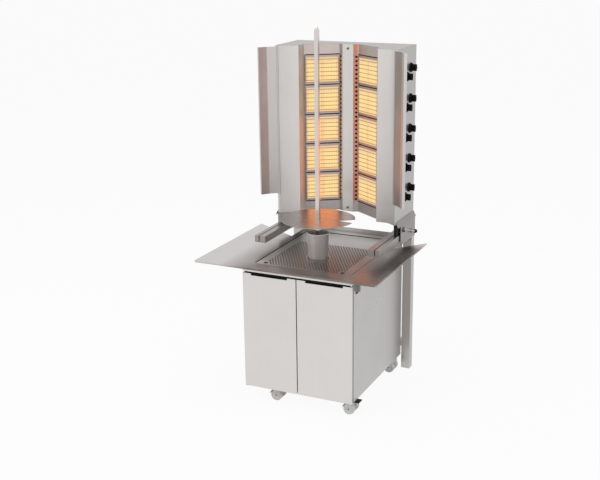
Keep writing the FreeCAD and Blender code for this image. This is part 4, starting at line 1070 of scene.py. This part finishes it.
@dataclass
class Worktop:
    """The worktop, its basin, grid, cup and turning parts."""

    spindle_y: float = 270.0
    grid_low: tuple[float, float] = (-258.0, 66.0)
    grid_high: tuple[float, float] = (264.0, 706.0)
    grid_z: float = 733.5
    holes_low: tuple[float, float] = (-216.0, 80.0)
    holes_high: tuple[float, float] = (216.0, 500.0)
    pitch: float = 16.0
    hole: float = 5.3
    sheet: float = 1.5
    fingers: tuple[tuple[float, float], ...] = ((-212.0, 90.0), (212.0, 90.0))
    finger_radius: float = 12.0
    passage: float = 57.3

    def build(self) -> None:
        """Build and dress the worktop."""
        skin("worktop", TOP, 0.6)
        skin("drip_basin", BASIN_SHADE, 0.4)
        self.build_grid()
        self.build_slot_strip()
        self.build_cup()
        self.build_drive()
        skin("skewer", SKEWER, 0.5)
        skin("meat_plate", PLATE, 0.8)

    def cell(self, row_pitch: float) -> bpy.types.Object:
        """Make one cell of the grid: a flat square with a round hole.

        Args:
            row_pitch: Height of the cell, in millimetres.

        Returns:
            The cell's object.
        """
        piece = Piece("grid cell")
        half_x, half_y = self.pitch / 2, row_pitch / 2
        corners = [Vector((sx * half_x, sy * half_y, 0)) * MM for sx, sy in ((1, -1), (1, 1), (-1, 1), (-1, -1))]
        outer = []
        for first, last in zip(corners, corners[1:] + corners[:1]):
            outer += [first.lerp(last, index / 4) for index in range(4)]
        outer = outer[2:] + outer[:2]
        steps = len(outer)
        inner = [Vector((math.cos(2 * math.pi * i / steps), math.sin(2 * math.pi * i / steps), 0))
                 * self.hole * MM for i in range(steps)]
        keep = piece.ring(outer)
        rim = piece.ring(inner)
        piece.bridge(rim, keep)
        return shape_object(piece, tidy=False)

    def build_grid(self) -> None:
        """Build the loose perforated grid as one closed sheet."""
        row_pitch = self.pitch * math.sqrt(3) / 2
        x0, y0 = self.grid_low
        x1, y1 = self.grid_high
        (left, front), (right, back) = self.holes_low, self.holes_high
        columns = int((right - left) / self.pitch)
        rows = int((back - front) / row_pitch) + 1
        start_x = (left + right) / 2 - (columns - 0.5) * self.pitch / 2
        start_y = (front + back) / 2 - (rows - 1) * row_pitch / 2
        near = [Vector((0, self.spindle_y, 0))] + [Vector((x, y, 0)) for x, y in self.fingers]
        start = Vector((start_x, start_y, 0))
        clear = [self.passage + 11.0] + [self.finger_radius + 11.0] * 2
        values = {"Cell": self.cell(row_pitch), "Columns": columns, "Rows": rows, "Pitch": self.pitch * MM,
                  "Row pitch": row_pitch * MM}
        for name, centre, reach in zip(("Cup", "Left finger", "Right finger"), near, clear):
            values[name] = tuple((centre - start) * MM)
            values[name + " clearance"] = reach * MM
        Repeats.sheet = sheet_tree()
        mesh = Repeats.sheet.bake(values)
        piece = Piece("grid_sheet")
        piece.take(mesh, Matrix.Translation(at(start_x, start_y, self.grid_z)))
        bm = piece.bm
        bmesh.ops.remove_doubles(bm, verts=bm.verts, dist=0.00002)
        open_edges = [e for e in bm.edges if e.is_boundary and e.calc_length() > 0.0022]
        self.add_loop(bm, open_edges, self.outline(x0, x1, y0, y1))
        for centre, radius in zip(near, (self.passage, self.finger_radius, self.finger_radius)):
            loop = [at(centre.x + radius * math.cos(math.pi * i / 24), centre.y + radius * math.sin(math.pi * i / 24),
                       self.grid_z) for i in range(48)]
            self.add_loop(bm, open_edges, loop)
        bmesh.ops.triangle_fill(bm, edges=open_edges, use_beauty=True, normal=(0, 0, 1))
        for face in bm.faces:
            if face.normal.z < 0:
                face.normal_flip()
        thick = bmesh.ops.extrude_face_region(bm, geom=list(bm.faces))
        moved = [g for g in thick["geom"] if isinstance(g, bmesh.types.BMVert)]
        bmesh.ops.translate(bm, verts=moved, vec=(0, 0, self.sheet * MM))
        piece.done(GRID, "grid", ("perforated_grid",))

    def add_loop(self, bm: bmesh.types.BMesh, edges: list, points: list[Vector]) -> None:
        """Add a closed loop of edges.

        Args:
            bm: The mesh in the making.
            edges: List that the new edges join.
            points: The loop's points.
        """
        loop = [bm.verts.new(point) for point in points]
        for first, last in zip(loop, loop[1:] + loop[:1]):
            edges.append(bm.edges.new((first, last)))

    def outline(self, x0: float, x1: float, y0: float, y1: float, radius: float = 18.0) -> list[Vector]:
        """List a rounded rectangle's points.

        Args:
            x0: Left.
            x1: Right.
            y0: Front.
            y1: Back.
            radius: Corner radius.

        Returns:
            The points, going round.
        """
        points = []
        for cx, cy, first in ((x1 - radius, y1 - radius, 0), (x0 + radius, y1 - radius, 90),
                              (x0 + radius, y0 + radius, 180), (x1 - radius, y0 + radius, 270)):
            for index in range(7):
                turn = math.radians(first + 15 * index)
                points.append(at(cx + radius * math.cos(turn), cy + radius * math.sin(turn), self.grid_z))
        return points

    def build_slot_strip(self) -> None:
        """Build the black strip of painted shade that lies in the slot left of the grid and behind it."""
        (x0, y0), (x1, y1) = self.grid_low, self.grid_high
        wide, deep, gap = 8.0, 16.0, 0.2
        low, high = self.grid_z - 0.2, self.grid_z + 0.5
        outer = [(x0 - wide + gap, y0 + 24), (x0 - wide + gap, y1 + deep - 22)]
        inner = [(x0 - gap, y0 + 24), (x0 - gap, y1 - 18)]
        for step in range(1, 7):
            turn = math.radians(180 - 15 * step)
            outer.append((x0 - wide + 22 + (22 - gap) * math.cos(turn), y1 + deep - 22 + (22 - gap) * math.sin(turn)))
            inner.append((x0 + 18 + (18 + gap) * math.cos(turn), y1 - 18 + (18 + gap) * math.sin(turn)))
        outer.append((x1 - 20, y1 + deep - gap))
        inner.append((x1 - 20, y1 + gap))
        # Painted shade: this black strip stands in for the shaded walls of the recess.
        strip = Piece("slot_strip")
        strip.loft([[at(*a, low), at(*a, high), at(*b, high), at(*b, low)] for a, b in zip(outer, inner)])
        strip.done(SHADE_BLACK, "base")

    def build_cup(self) -> None:
        """Build the open cup with a rolled rim and the bearing inside."""
        cup = Piece("cup_shell")
        foot, top = 685.0, 874.0
        profile = [(11.05, foot), (46.9, foot), (47.5, foot + 0.8), (56.9, top - 4.0), (57.5, top - 2.6),
                   (57.5, top - 1.0), (56.8, top), (55.5, top), (54.9, top - 1.2), (55.1, top - 5.0),
                   (46.2, foot + 3.0), (24.0, foot + 3.0), (24.0, foot + 23.0), (22.6, foot + 25.0),
                   (13.5, foot + 25.0), (11.05, foot + 24.0)]
        cup.lathe(profile, at(0, self.spindle_y, 0), Axis.Z, 72, closed=True)
        cup.done(CUP, "base", ("spindle_cup",))

    def build_drive(self) -> None:
        """Build the turning shaft with its hub."""
        drive = Piece("drive_hub")
        top, foot = 942.2, 890.2
        profile = [(10.2, 624.0), (11.0, 625.0), (11.0, foot - 8), (14.0, foot - 6), (14.0, foot - 1),
                   (24.8, foot), (26.0, foot + 1.2), (26.0, foot + 16), (24.5, foot + 17.5), (24.5, foot + 22),
                   (26.0, foot + 23.5), (26.0, top - 1.2), (24.8, top), (14.5, top), (14.5, top - 37)]
        drive.lathe(profile, at(0, self.spindle_y, 0), Axis.Z, 48)
        drive.done(SKEWER, "drive", ("drive_shaft",))
        screw = Screws("hub_screws", "drive", SKEWER)
        screw.row(4.0, Axis.Y, -1, at(0, self.spindle_y - 25.6, foot + 9), 1, (0, 0, 0))
        screw.row(4.0, Axis.X, 1, at(25.6, self.spindle_y, foot + 9), 1, (0, 0, 0))
        screw.done()


@dataclass
class Head:
    """The burner head with its carriage."""

    half_width: float = 338.5
    bottom: float = 887.0
    top: float = 1787.0
    back: float = 769.0
    panel_middle: tuple[float, float] = (130.05, 623.84)
    panel_angle: float = 34.7
    rows: int = 5
    row_top: float = 1733.0
    row_pitch: float = 157.5
    frame_size: tuple[float, float] = (185.0, 151.0)
    mouth: tuple[float, float] = (171.0, 129.0)
    rise: float = 3.0

    def build(self) -> None:
        """Build and dress the head."""
        skin("head_roof", ROOF_SHADE, 0.35)
        for node in ("head_floor", "head_side_left", "head_side_right"):
            skin(node, HEAD_FLANK_SHADE, 0.35)
        skin("head_back", HEAD_FLANK_SHADE, 0.25)
        skin("centre_post", HEAD, 0.5)
        for node in ("cheek_left", "cheek_right"):
            skin(node, CHEEK, 0.4)
        skin("panel_left", PANEL_LEFT, 0.25)
        skin("panel_right", PANEL_RIGHT, 0.25)
        self.build_burners()
        self.build_tiles()
        self.build_guards()
        self.build_heat_seals()
        self.build_glow()
        skin("gas_train", PIPE, 0.8)
        for node in ("carriage_left", "carriage_right"):
            skin(node, CARRIAGE_SHADE, 0.5)
        self.build_glides()
        self.build_screws()
        self.build_lever()

    def places(self) -> list[Matrix]:
        """List where the burners sit.

        Returns:
            One matrix per burner, from a flat burner at the origin.
        """
        found = []
        for side in (-1, 1):
            turn = Matrix.Rotation(-side * math.radians(self.panel_angle), 4, "Z")
            for row in range(self.rows):
                z = self.row_top - (row + 0.5) * self.row_pitch
                spot = at(side * self.panel_middle[0], self.panel_middle[1], z)
                found.append(Matrix.Translation(spot) @ turn)
        return found

    def rectangle(self, width: float, height: float, y: float) -> list[Vector]:
        """List a rectangle's corners.

        Args:
            width: Millimetres.
            height: Millimetres.
            y: Its place in depth, in millimetres.

        Returns:
            Four corners in metres.
        """
        return [Vector((sx * width / 2, y, sz * height / 2)) * MM
                for sx, sz in ((-1, -1), (1, -1), (1, 1), (-1, 1))]

    def build_burners(self) -> None:
        """Build the ten pressed burner frames and their chambers."""
        outer, mouth = self.frame_size, self.mouth
        one = Piece("burner frame")
        one.loft([self.rectangle(outer[0], outer[1], 0.0), self.rectangle(outer[0], outer[1], -self.rise + 0.6),
                  self.rectangle(outer[0] - 1.6, outer[1] - 1.6, -self.rise),
                  self.rectangle(mouth[0] + 6, mouth[1] + 6, -self.rise),
                  self.rectangle(mouth[0] + 3, mouth[1] + 3, -self.rise - 1.6),
                  self.rectangle(mouth[0] + 1, mouth[1] + 1, -self.rise - 1.2),
                  self.rectangle(mouth[0], mouth[1], -self.rise + 1.5),
                  self.rectangle(mouth[0], mouth[1], 11.0), self.rectangle(mouth[0] + 2, mouth[1] + 2, 11.0),
                  self.rectangle(mouth[0] + 2, mouth[1] + 2, 0.0)], closed=True)
        one.loft([self.rectangle(175, 133, 11.2), self.rectangle(175, 133, 40.0),
                  self.rectangle(160, 118, 45.0)])
        mesh = one.mesh()
        piece = Piece("burner_pressings")
        for place in self.places():
            piece.take(mesh, place)
        piece.done(BURNER, "head", ("burner_bodies",), tidy=False, sharp=25)

    def build_tiles(self) -> None:
        """Build the glowing tiles, two in each burner."""
        one = Piece("tile pair")
        layer = one.bm.loops.layers.uv.new("face")
        width, height = self.mouth[0] / 2 - 0.5, self.mouth[1] - 0.6
        for side in (-1, 1):
            known = set(one.bm.faces)
            middle = side * (width / 2 + 0.25)
            loops = []
            for inset, y in ((0.8, -1.0), (0.0, -0.2), (0.0, 11.0)):
                loop = self.rectangle(width - 2 * inset, height - 2 * inset, y)
                loops.append([p + Vector((middle * MM, 0, 0)) for p in loop])
            one.loft(loops)
            for face in set(one.bm.faces) - known:
                for loop in face.loops:
                    co = loop.vert.co / MM
                    loop[layer].uv = ((co.x - middle) / width + 0.5, co.z / height + 0.5)
        mesh = one.mesh()
        piece = Piece("glow_tiles")
        for place in self.places():
            piece.take(mesh, place)
        piece.done(CERAMIC, "head", ("ceramic_tiles",), tidy=False, sharp=25)

    def build_guards(self) -> None:
        """Build the wire guards: cross wires, fine uprights and hooked ends."""
        cross = Piece("cross wire")
        half = self.mouth[0] / 2 + 4.5
        for first, last in (((-half, 0, 0), (half, 0, 0)), ((-half, 0, 0), (-half, 2.6, -4.0)),
                            ((half, 0, 0), (half, 2.6, -4.0))):
            cross.rod(Vector(first) * MM, Vector(last) * MM, 1.7, 8)
        wires = Repeats.row(shape_object(cross), 6, (0, 0, 0.0216))
        upright = Piece("upright wire")
        reach = self.mouth[1] / 2 - 1
        upright.rod(Vector((0, 0, -reach)) * MM, Vector((0, 0, reach)) * MM, 0.25, 6)
        fine = Repeats.row(shape_object(upright), 12, (0.01385, 0, 0))
        piece = Piece("wire_guards")
        for place in self.places():
            piece.take(wires, place @ Matrix.Translation(Vector((0, -6.0, -54.0)) * MM))
            piece.take(fine, place @ Matrix.Translation(Vector((-76.0, -4.2, 0)) * MM))
        piece.done(WIRE, "head", ("burner_guards",), tidy=False)

    def build_heat_seals(self) -> None:
        """Build dark strips of painted shade at the joints between the burners, beside the post, and behind the slots.
        """
        seal = Piece("panel_seals")
        for side in (-1, 1):
            turn = Matrix.Rotation(-side * math.radians(self.panel_angle), 4, "Z")
            place = Matrix.Translation(at(side * self.panel_middle[0], self.panel_middle[1], 0)) @ turn
            one = Piece("seal")
            # Painted shade in the joints between the burners and along the panel's edges.
            for row in range(self.rows + 1):
                z = self.row_top - row * self.row_pitch
                first, last = (-92.5, 96.5) if side < 0 else (-96.5, 92.5)
                one.block(Vector((first, -1.0, z - 2.5)) * MM, Vector((last, -0.05, z + 2.5)) * MM)
            foot = self.row_top - self.rows * self.row_pitch
            for first, last in ((92.8, 95.3), (-94.8, -92.8)):
                edge = (first, last) if side < 0 else (-last, -first)
                one.block(Vector((edge[0], -1.0, foot)) * MM, Vector((edge[1], -0.05, self.row_top)) * MM)
            seal.take(one.mesh(), place)
            # Painted shade behind the slot beside the post.
            near, far = (side * 29.5, 668.4), (side * 51.5, 680.9)
            corners = (near, far, (far[0], far[1] + 1.2), (near[0], near[1] + 1.2))
            seal.loft([[at(x, y, z) for x, y in corners] for z in (foot - 8, self.row_top + 8)])
        seal.done(PANEL_SHADE, "head")

    def build_glow(self) -> None:
        """Hang the warm light of the lower burners in front of each panel."""
        for side in (-1, 1):
            turn = Matrix.Rotation(-side * math.radians(self.panel_angle), 4, "Z")
            middle = self.row_top - self.rows * self.row_pitch / 2
            place = Matrix.Translation(at(side * self.panel_middle[0], self.panel_middle[1], middle - 165)) @ turn
            data = bpy.data.lights.new("glow", "AREA")
            data.shape = "RECTANGLE"
            data.size, data.size_y = 0.16, 0.46
            data.energy = 0.19
            data.color = (1.0, 0.08, 0.02)
            lamp = bpy.data.objects.new("glow", data)
            lamp.visible_camera = False
            lamp.matrix_world = place @ Matrix.Translation((0, -0.012, 0)) @ Matrix.Rotation(math.radians(-90), 4, "X")
            bpy.context.scene.collection.objects.link(lamp)
            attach(lamp, "head")

    def build_glides(self) -> None:
        """Build the plastic glides: black on the lever's side, grey on the other."""
        for side, finish, nodes in ((1, BLACK, ("carriage_glides",)), (-1, SWITCH, ())):
            piece = Piece("glides_right" if side > 0 else "glides_left")
            piece.bm.from_mesh(frame["nodes"]["carriage_glides"].data)
            bmesh.ops.remove_doubles(piece.bm, verts=piece.bm.verts, dist=0.000004)
            bmesh.ops.dissolve_limit(piece.bm, angle_limit=math.radians(0.5), verts=piece.bm.verts,
                                     edges=piece.bm.edges)
            away = [v for v in piece.bm.verts if (v.co.x + MIDDLE.x) * side < 0]
            bmesh.ops.delete(piece.bm, geom=away, context="VERTS")
            piece.done(finish, "head", nodes, 1.0, tidy=False)

    def build_screws(self) -> None:
        """Build the screws of the head's sheets."""
        screws = Screws("head_screws", "head", HEAD)
        for x in (-328, 0, 328):
            screws.row(3.2, Axis.Y, 1, at(x, self.back, self.bottom + 40), 6, (0, 0, 0.164))
        screws.row(3.2, Axis.Z, 1, at(-300, self.back - 10, self.top), 5, (0.15, 0, 0))
        for sign in (-1, 1):
            screws.row(3.2, Axis.X, sign, at(sign * self.half_width, self.back - 9, self.bottom + 40), 6, (0, 0, 0.164))
            screws.row(4.2, Axis.X, sign, at(sign * 355, 735, 850), 1, (0, 0, 0))
        screws.done()
        # The black domes in the centre post's screw heads are painted shade in their sockets.
        for name, finish, radius, forward in (("post_screws", CARRIAGE_SHADE, 7.5, 0.0), ("post_sockets", BLACK, 3.2, 2.4)):
            post = Screws(name, "head", finish)
            post.row(radius, Axis.Y, -1, at(0, 662.5 - forward, self.top - 22), 2, (0, 0, -0.856))
            post.done()

    def build_lever(self) -> None:
        """Build the lock lever with its ball."""
        pivot = at(355.5, 575, 846)
        end = at(368.5, 722, 800)
        lever = Piece("lever_arm")
        lever.lathe([(5.9, -3.4), (5.9, 0), (12.4, 0), (13.0, 0.7), (13.0, 10.6), (12.0, 11.8), (7.0, 12.0)],
                    pivot, Axis.X, 32)
        start = pivot + Vector((6.2 * MM, 0, 0))
        lever.rod(start, start.lerp(end, 0.93), 4.3, 16)
        lever.done(RAIL, "lever", ("lock_lever",), 0.3)
        ball = Piece("lever_ball")
        profile = [(4.6, -13.5), (5.6, -12.0)]
        profile += [(11.0 * math.sin(math.radians(a)), -11.0 * math.cos(math.radians(a))) for a in range(35, 176, 10)]
        ball.lathe(profile, Vector((0, 0, 0)), Axis.Z, 32)
        turn = Vector((0, 0, 1)).rotation_difference((end - start).normalized())
        ball.move(Matrix.Translation(end) @ turn.to_matrix().to_4x4())
        ball.done(BLACK, "lever")


@dataclass
class Knobs:
    """The ten gas knobs on the head's right side."""

    face: float = 339.0
    rear: tuple[float, float] = (688.0, 24.0)
    front: tuple[float, float] = (630.0, -16.0)
    row_top: float = 1733.0
    row_pitch: float = 157.5

    def build(self) -> None:
        """Build each knob."""
        for row in range(5):
            middle = self.row_top - (row + 0.5) * self.row_pitch
            for column, (y, rise) in (("rear", self.rear), ("front", self.front)):
                self.build_knob(f"knob_{column}_{row + 1}", at(self.face, y, middle + rise))

    def build_knob(self, node: str, centre: Vector) -> None:
        """Build one knob: a skirt, a fluted grip and a pointer.

        Args:
            node: The frame's node, which also names the body.
            centre: The middle of its back face.
        """
        knob = Piece(node + "_grip")
        knob.lathe([(5.0, -14.4), (5.0, 0), (24.4, 0), (25.0, 0.8), (24.6, 3.2), (22.0, 7.0), (19.0, 8.0)],
                   centre, Axis.X, 40)
        flute = [1.0, 1.0, 0.93, 0.93]
        knob.lathe([(15.2, 6.0), (15.5, 8.5), (14.9, 27.6), (13.8, 29.4), (10.5, 30.0)], centre, Axis.X, 40,
                   radii=flute)
        low = centre + Vector((8.0, -3.5, -17.0)) * MM
        knob.block(low, low + Vector((23.5, 7.0, 34.0)) * MM)
        knob.done(KNOB, node, (node,), 0.35)


@dataclass
class Wings:
    """The two wind wings and their hinge pins."""

    def build(self) -> None:
        """Dress the wings."""
        skin("wing_left", WING_LEFT, 0.4)
        skin("wing_right", WING_RIGHT, 0.4)


@dataclass
class Casters:
    """The four twin-wheel casters."""

    radius: float = 30.0
    width: float = 25.0
    inner: float = 12.0
    trail: float = 22.0
    places: dict[str, tuple[float, float]] = field(default_factory=lambda: {
        "front_left": (-167.0, 80.0), "front_right": (243.0, 80.0),
        "rear_left": (-167.0, 650.0), "rear_right": (243.0, 650.0)})

    def build(self) -> None:
        """Build each caster."""
        for name, (x, y) in self.places.items():
            skin("caster_fork_" + name, CASTER, 0.5)
            self.build_wheels(name, at(x + self.trail, y, self.radius))
            if name.startswith("front"):
                skin("brake_pedal_" + name, BLACK, 0.8)

    def build_wheels(self, name: str, centre: Vector) -> None:
        """Build a pair of wheels on their axle.

        Args:
            name: The caster's name.
            centre: The middle of the axle.
        """
        wheels = Piece("wheel_pair_" + name)
        r, a, b = self.radius, self.inner, self.inner + self.width
        for sign in (-1, 1):
            profile = [(3.9, a), (r - 3, a), (r - 1.2, a + 1.0), (r, a + 3.5), (r, b - 3.5), (r - 1.2, b - 1.0),
                       (r - 3, b), (r - 7, b), (r - 8.5, b - 2.4), (r - 14, b - 3.6), (9.5, b - 3.6),
                       (8.5, b - 1.2), (7.0, b - 0.2), (3.0, b)]
            wheels.lathe([(q, sign * t) for q, t in profile], centre, Axis.Y, 56)
        wheels.lathe([(3.9, -a - 1), (3.9, a + 1)], centre, Axis.Y, 20)
        wheels.done(TREAD, "wheels_" + name, ("caster_wheels_" + name,))
        hub = Piece("wheel_hubs_" + name)
        for sign in (-1, 1):
            hub.lathe([(5.4, sign * (b - 1.0)), (5.2, sign * (b + 0.2)), (3.0, sign * (b + 0.5))], centre, Axis.Y, 20)
        hub.done(SWITCH, "wheels_" + name)


@dataclass
class Studio:
    """The floor, the lamps, the world and the camera."""

    eye: Point = (2.2011, -4.8079, 2.3788)
    yaw: float = 0.4445
    pitch: float = 0.2916
    roll: float = -0.0125
    lens: float = 62.8

    def build(self) -> None:
        """Set the stage."""
        self.build_floor()
        self.build_world()
        self.build_lamp("key", (-2.6, -3.4, 4.2), 3.0, 70.0)
        self.build_lamp("fill", (4.0, -2.5, 2.6), 3.5, 25.0)
        self.build_lamp("top", (0.0, 0.6, 5.0), 3.0, 40.0)
        self.build_camera()
        bpy.context.scene.view_settings.view_transform = "Standard"

    def build_floor(self) -> None:
        """Lay the pale floor."""
        piece = Piece("floor")
        size = 30.0
        ring = piece.ring([Vector((x * size, y * size, 0)) for x, y in ((-1, -1), (1, -1), (1, 1), (-1, 1))])
        piece.bm.faces.new(ring)
        floor = bpy.data.objects.new("floor", piece.mesh(False))
        bpy.context.scene.collection.objects.link(floor)
        graph = Graph("pale floor")
        rays = graph.node("LightPath").outputs
        seen = graph.math("MAXIMUM", rays["Is Camera Ray"],
                          graph.math("MAXIMUM", rays["Is Glossy Ray"], rays["Is Transmission Ray"]))
        matte = graph.node("BsdfDiffuse", Color=(0.8, 0.8, 0.8, 1.0)).outputs[0]
        white = graph.node("Emission", Color=(1.0, 1.0, 1.0, 1.0), Strength=1.0).outputs[0]
        mixed = graph.node("MixShader", n0=graph.math("MULTIPLY", seen, 0.93), n1=matte, n2=white)
        floor.data.materials.append(graph.close(mixed.outputs[0]))

    def build_world(self) -> None:
        """Light the scene from all round."""
        world = bpy.data.worlds.new("studio")
        bpy.context.scene.world = world
        world.use_nodes = True
        tree = world.node_tree
        tree.nodes.clear()
        output = tree.nodes.new("ShaderNodeOutputWorld")
        rays = tree.nodes.new("ShaderNodeLightPath").outputs
        seen = rays["Is Camera Ray"]
        for kind in ("Is Glossy Ray", "Is Transmission Ray"):
            either = tree.nodes.new("ShaderNodeMath")
            either.operation = "MAXIMUM"
            tree.links.new(seen, either.inputs[0])
            tree.links.new(rays[kind], either.inputs[1])
            seen = either.outputs[0]
        soft = tree.nodes.new("ShaderNodeBackground")
        soft.inputs["Color"].default_value = (0.72, 0.72, 0.73, 1.0)
        soft.inputs["Strength"].default_value = 0.75
        white = tree.nodes.new("ShaderNodeBackground")
        white.inputs["Color"].default_value = (0.97, 0.97, 0.97, 1.0)
        mix = tree.nodes.new("ShaderNodeMixShader")
        tree.links.new(seen, mix.inputs[0])
        tree.links.new(soft.outputs[0], mix.inputs[1])
        tree.links.new(white.outputs[0], mix.inputs[2])
        tree.links.new(mix.outputs[0], output.inputs["Surface"])

    def build_lamp(self, name: str, place: Point, size: float, power: float) -> None:
        """Hang a square lamp that faces the head.

        Args:
            name: The lamp's name.
            place: Where it hangs.
            size: Its side, in metres.
            power: Watts.
        """
        data = bpy.data.lights.new(name, "AREA")
        data.size = size
        data.energy = power
        lamp = bpy.data.objects.new(name, data)
        lamp.location = place
        lamp.rotation_euler = (Vector((0.07, 0.0, 0.95)) - Vector(place)).to_track_quat("-Z", "Y").to_euler()
        bpy.context.scene.collection.objects.link(lamp)

    def build_camera(self) -> None:
        """Place the camera."""
        yaw, pitch, roll = self.yaw, self.pitch, self.roll
        ahead = Vector((-math.sin(yaw) * math.cos(pitch), math.cos(yaw) * math.cos(pitch), -math.sin(pitch)))
        right = Vector((math.cos(yaw), math.sin(yaw), 0))
        up = right.cross(ahead)
        across = right * math.cos(roll) + up * math.sin(roll)
        above = up * math.cos(roll) - right * math.sin(roll)
        turned = Matrix((across, above, -ahead)).transposed().to_4x4()
        data = bpy.data.cameras.new("camera")
        data.lens = self.lens
        data.sensor_width = 36.0
        data.clip_end = 100.0
        camera = bpy.data.objects.new("camera", data)
        camera.matrix_world = Matrix.Translation(self.eye) @ turned
        bpy.context.scene.collection.objects.link(camera)
        bpy.context.scene.camera = camera


def main() -> None:
    """Build the grill and its studio."""
    logging.basicConfig(level=logging.INFO, format="%(message)s")
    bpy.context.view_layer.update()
    Studio().build()
    for part in (Cabinet(), Worktop(), Head(), Knobs(), Wings(), Casters()):
        LOG.info("building %s", type(part).__name__)
        part.build()


if __name__ == "__main__":
    main()
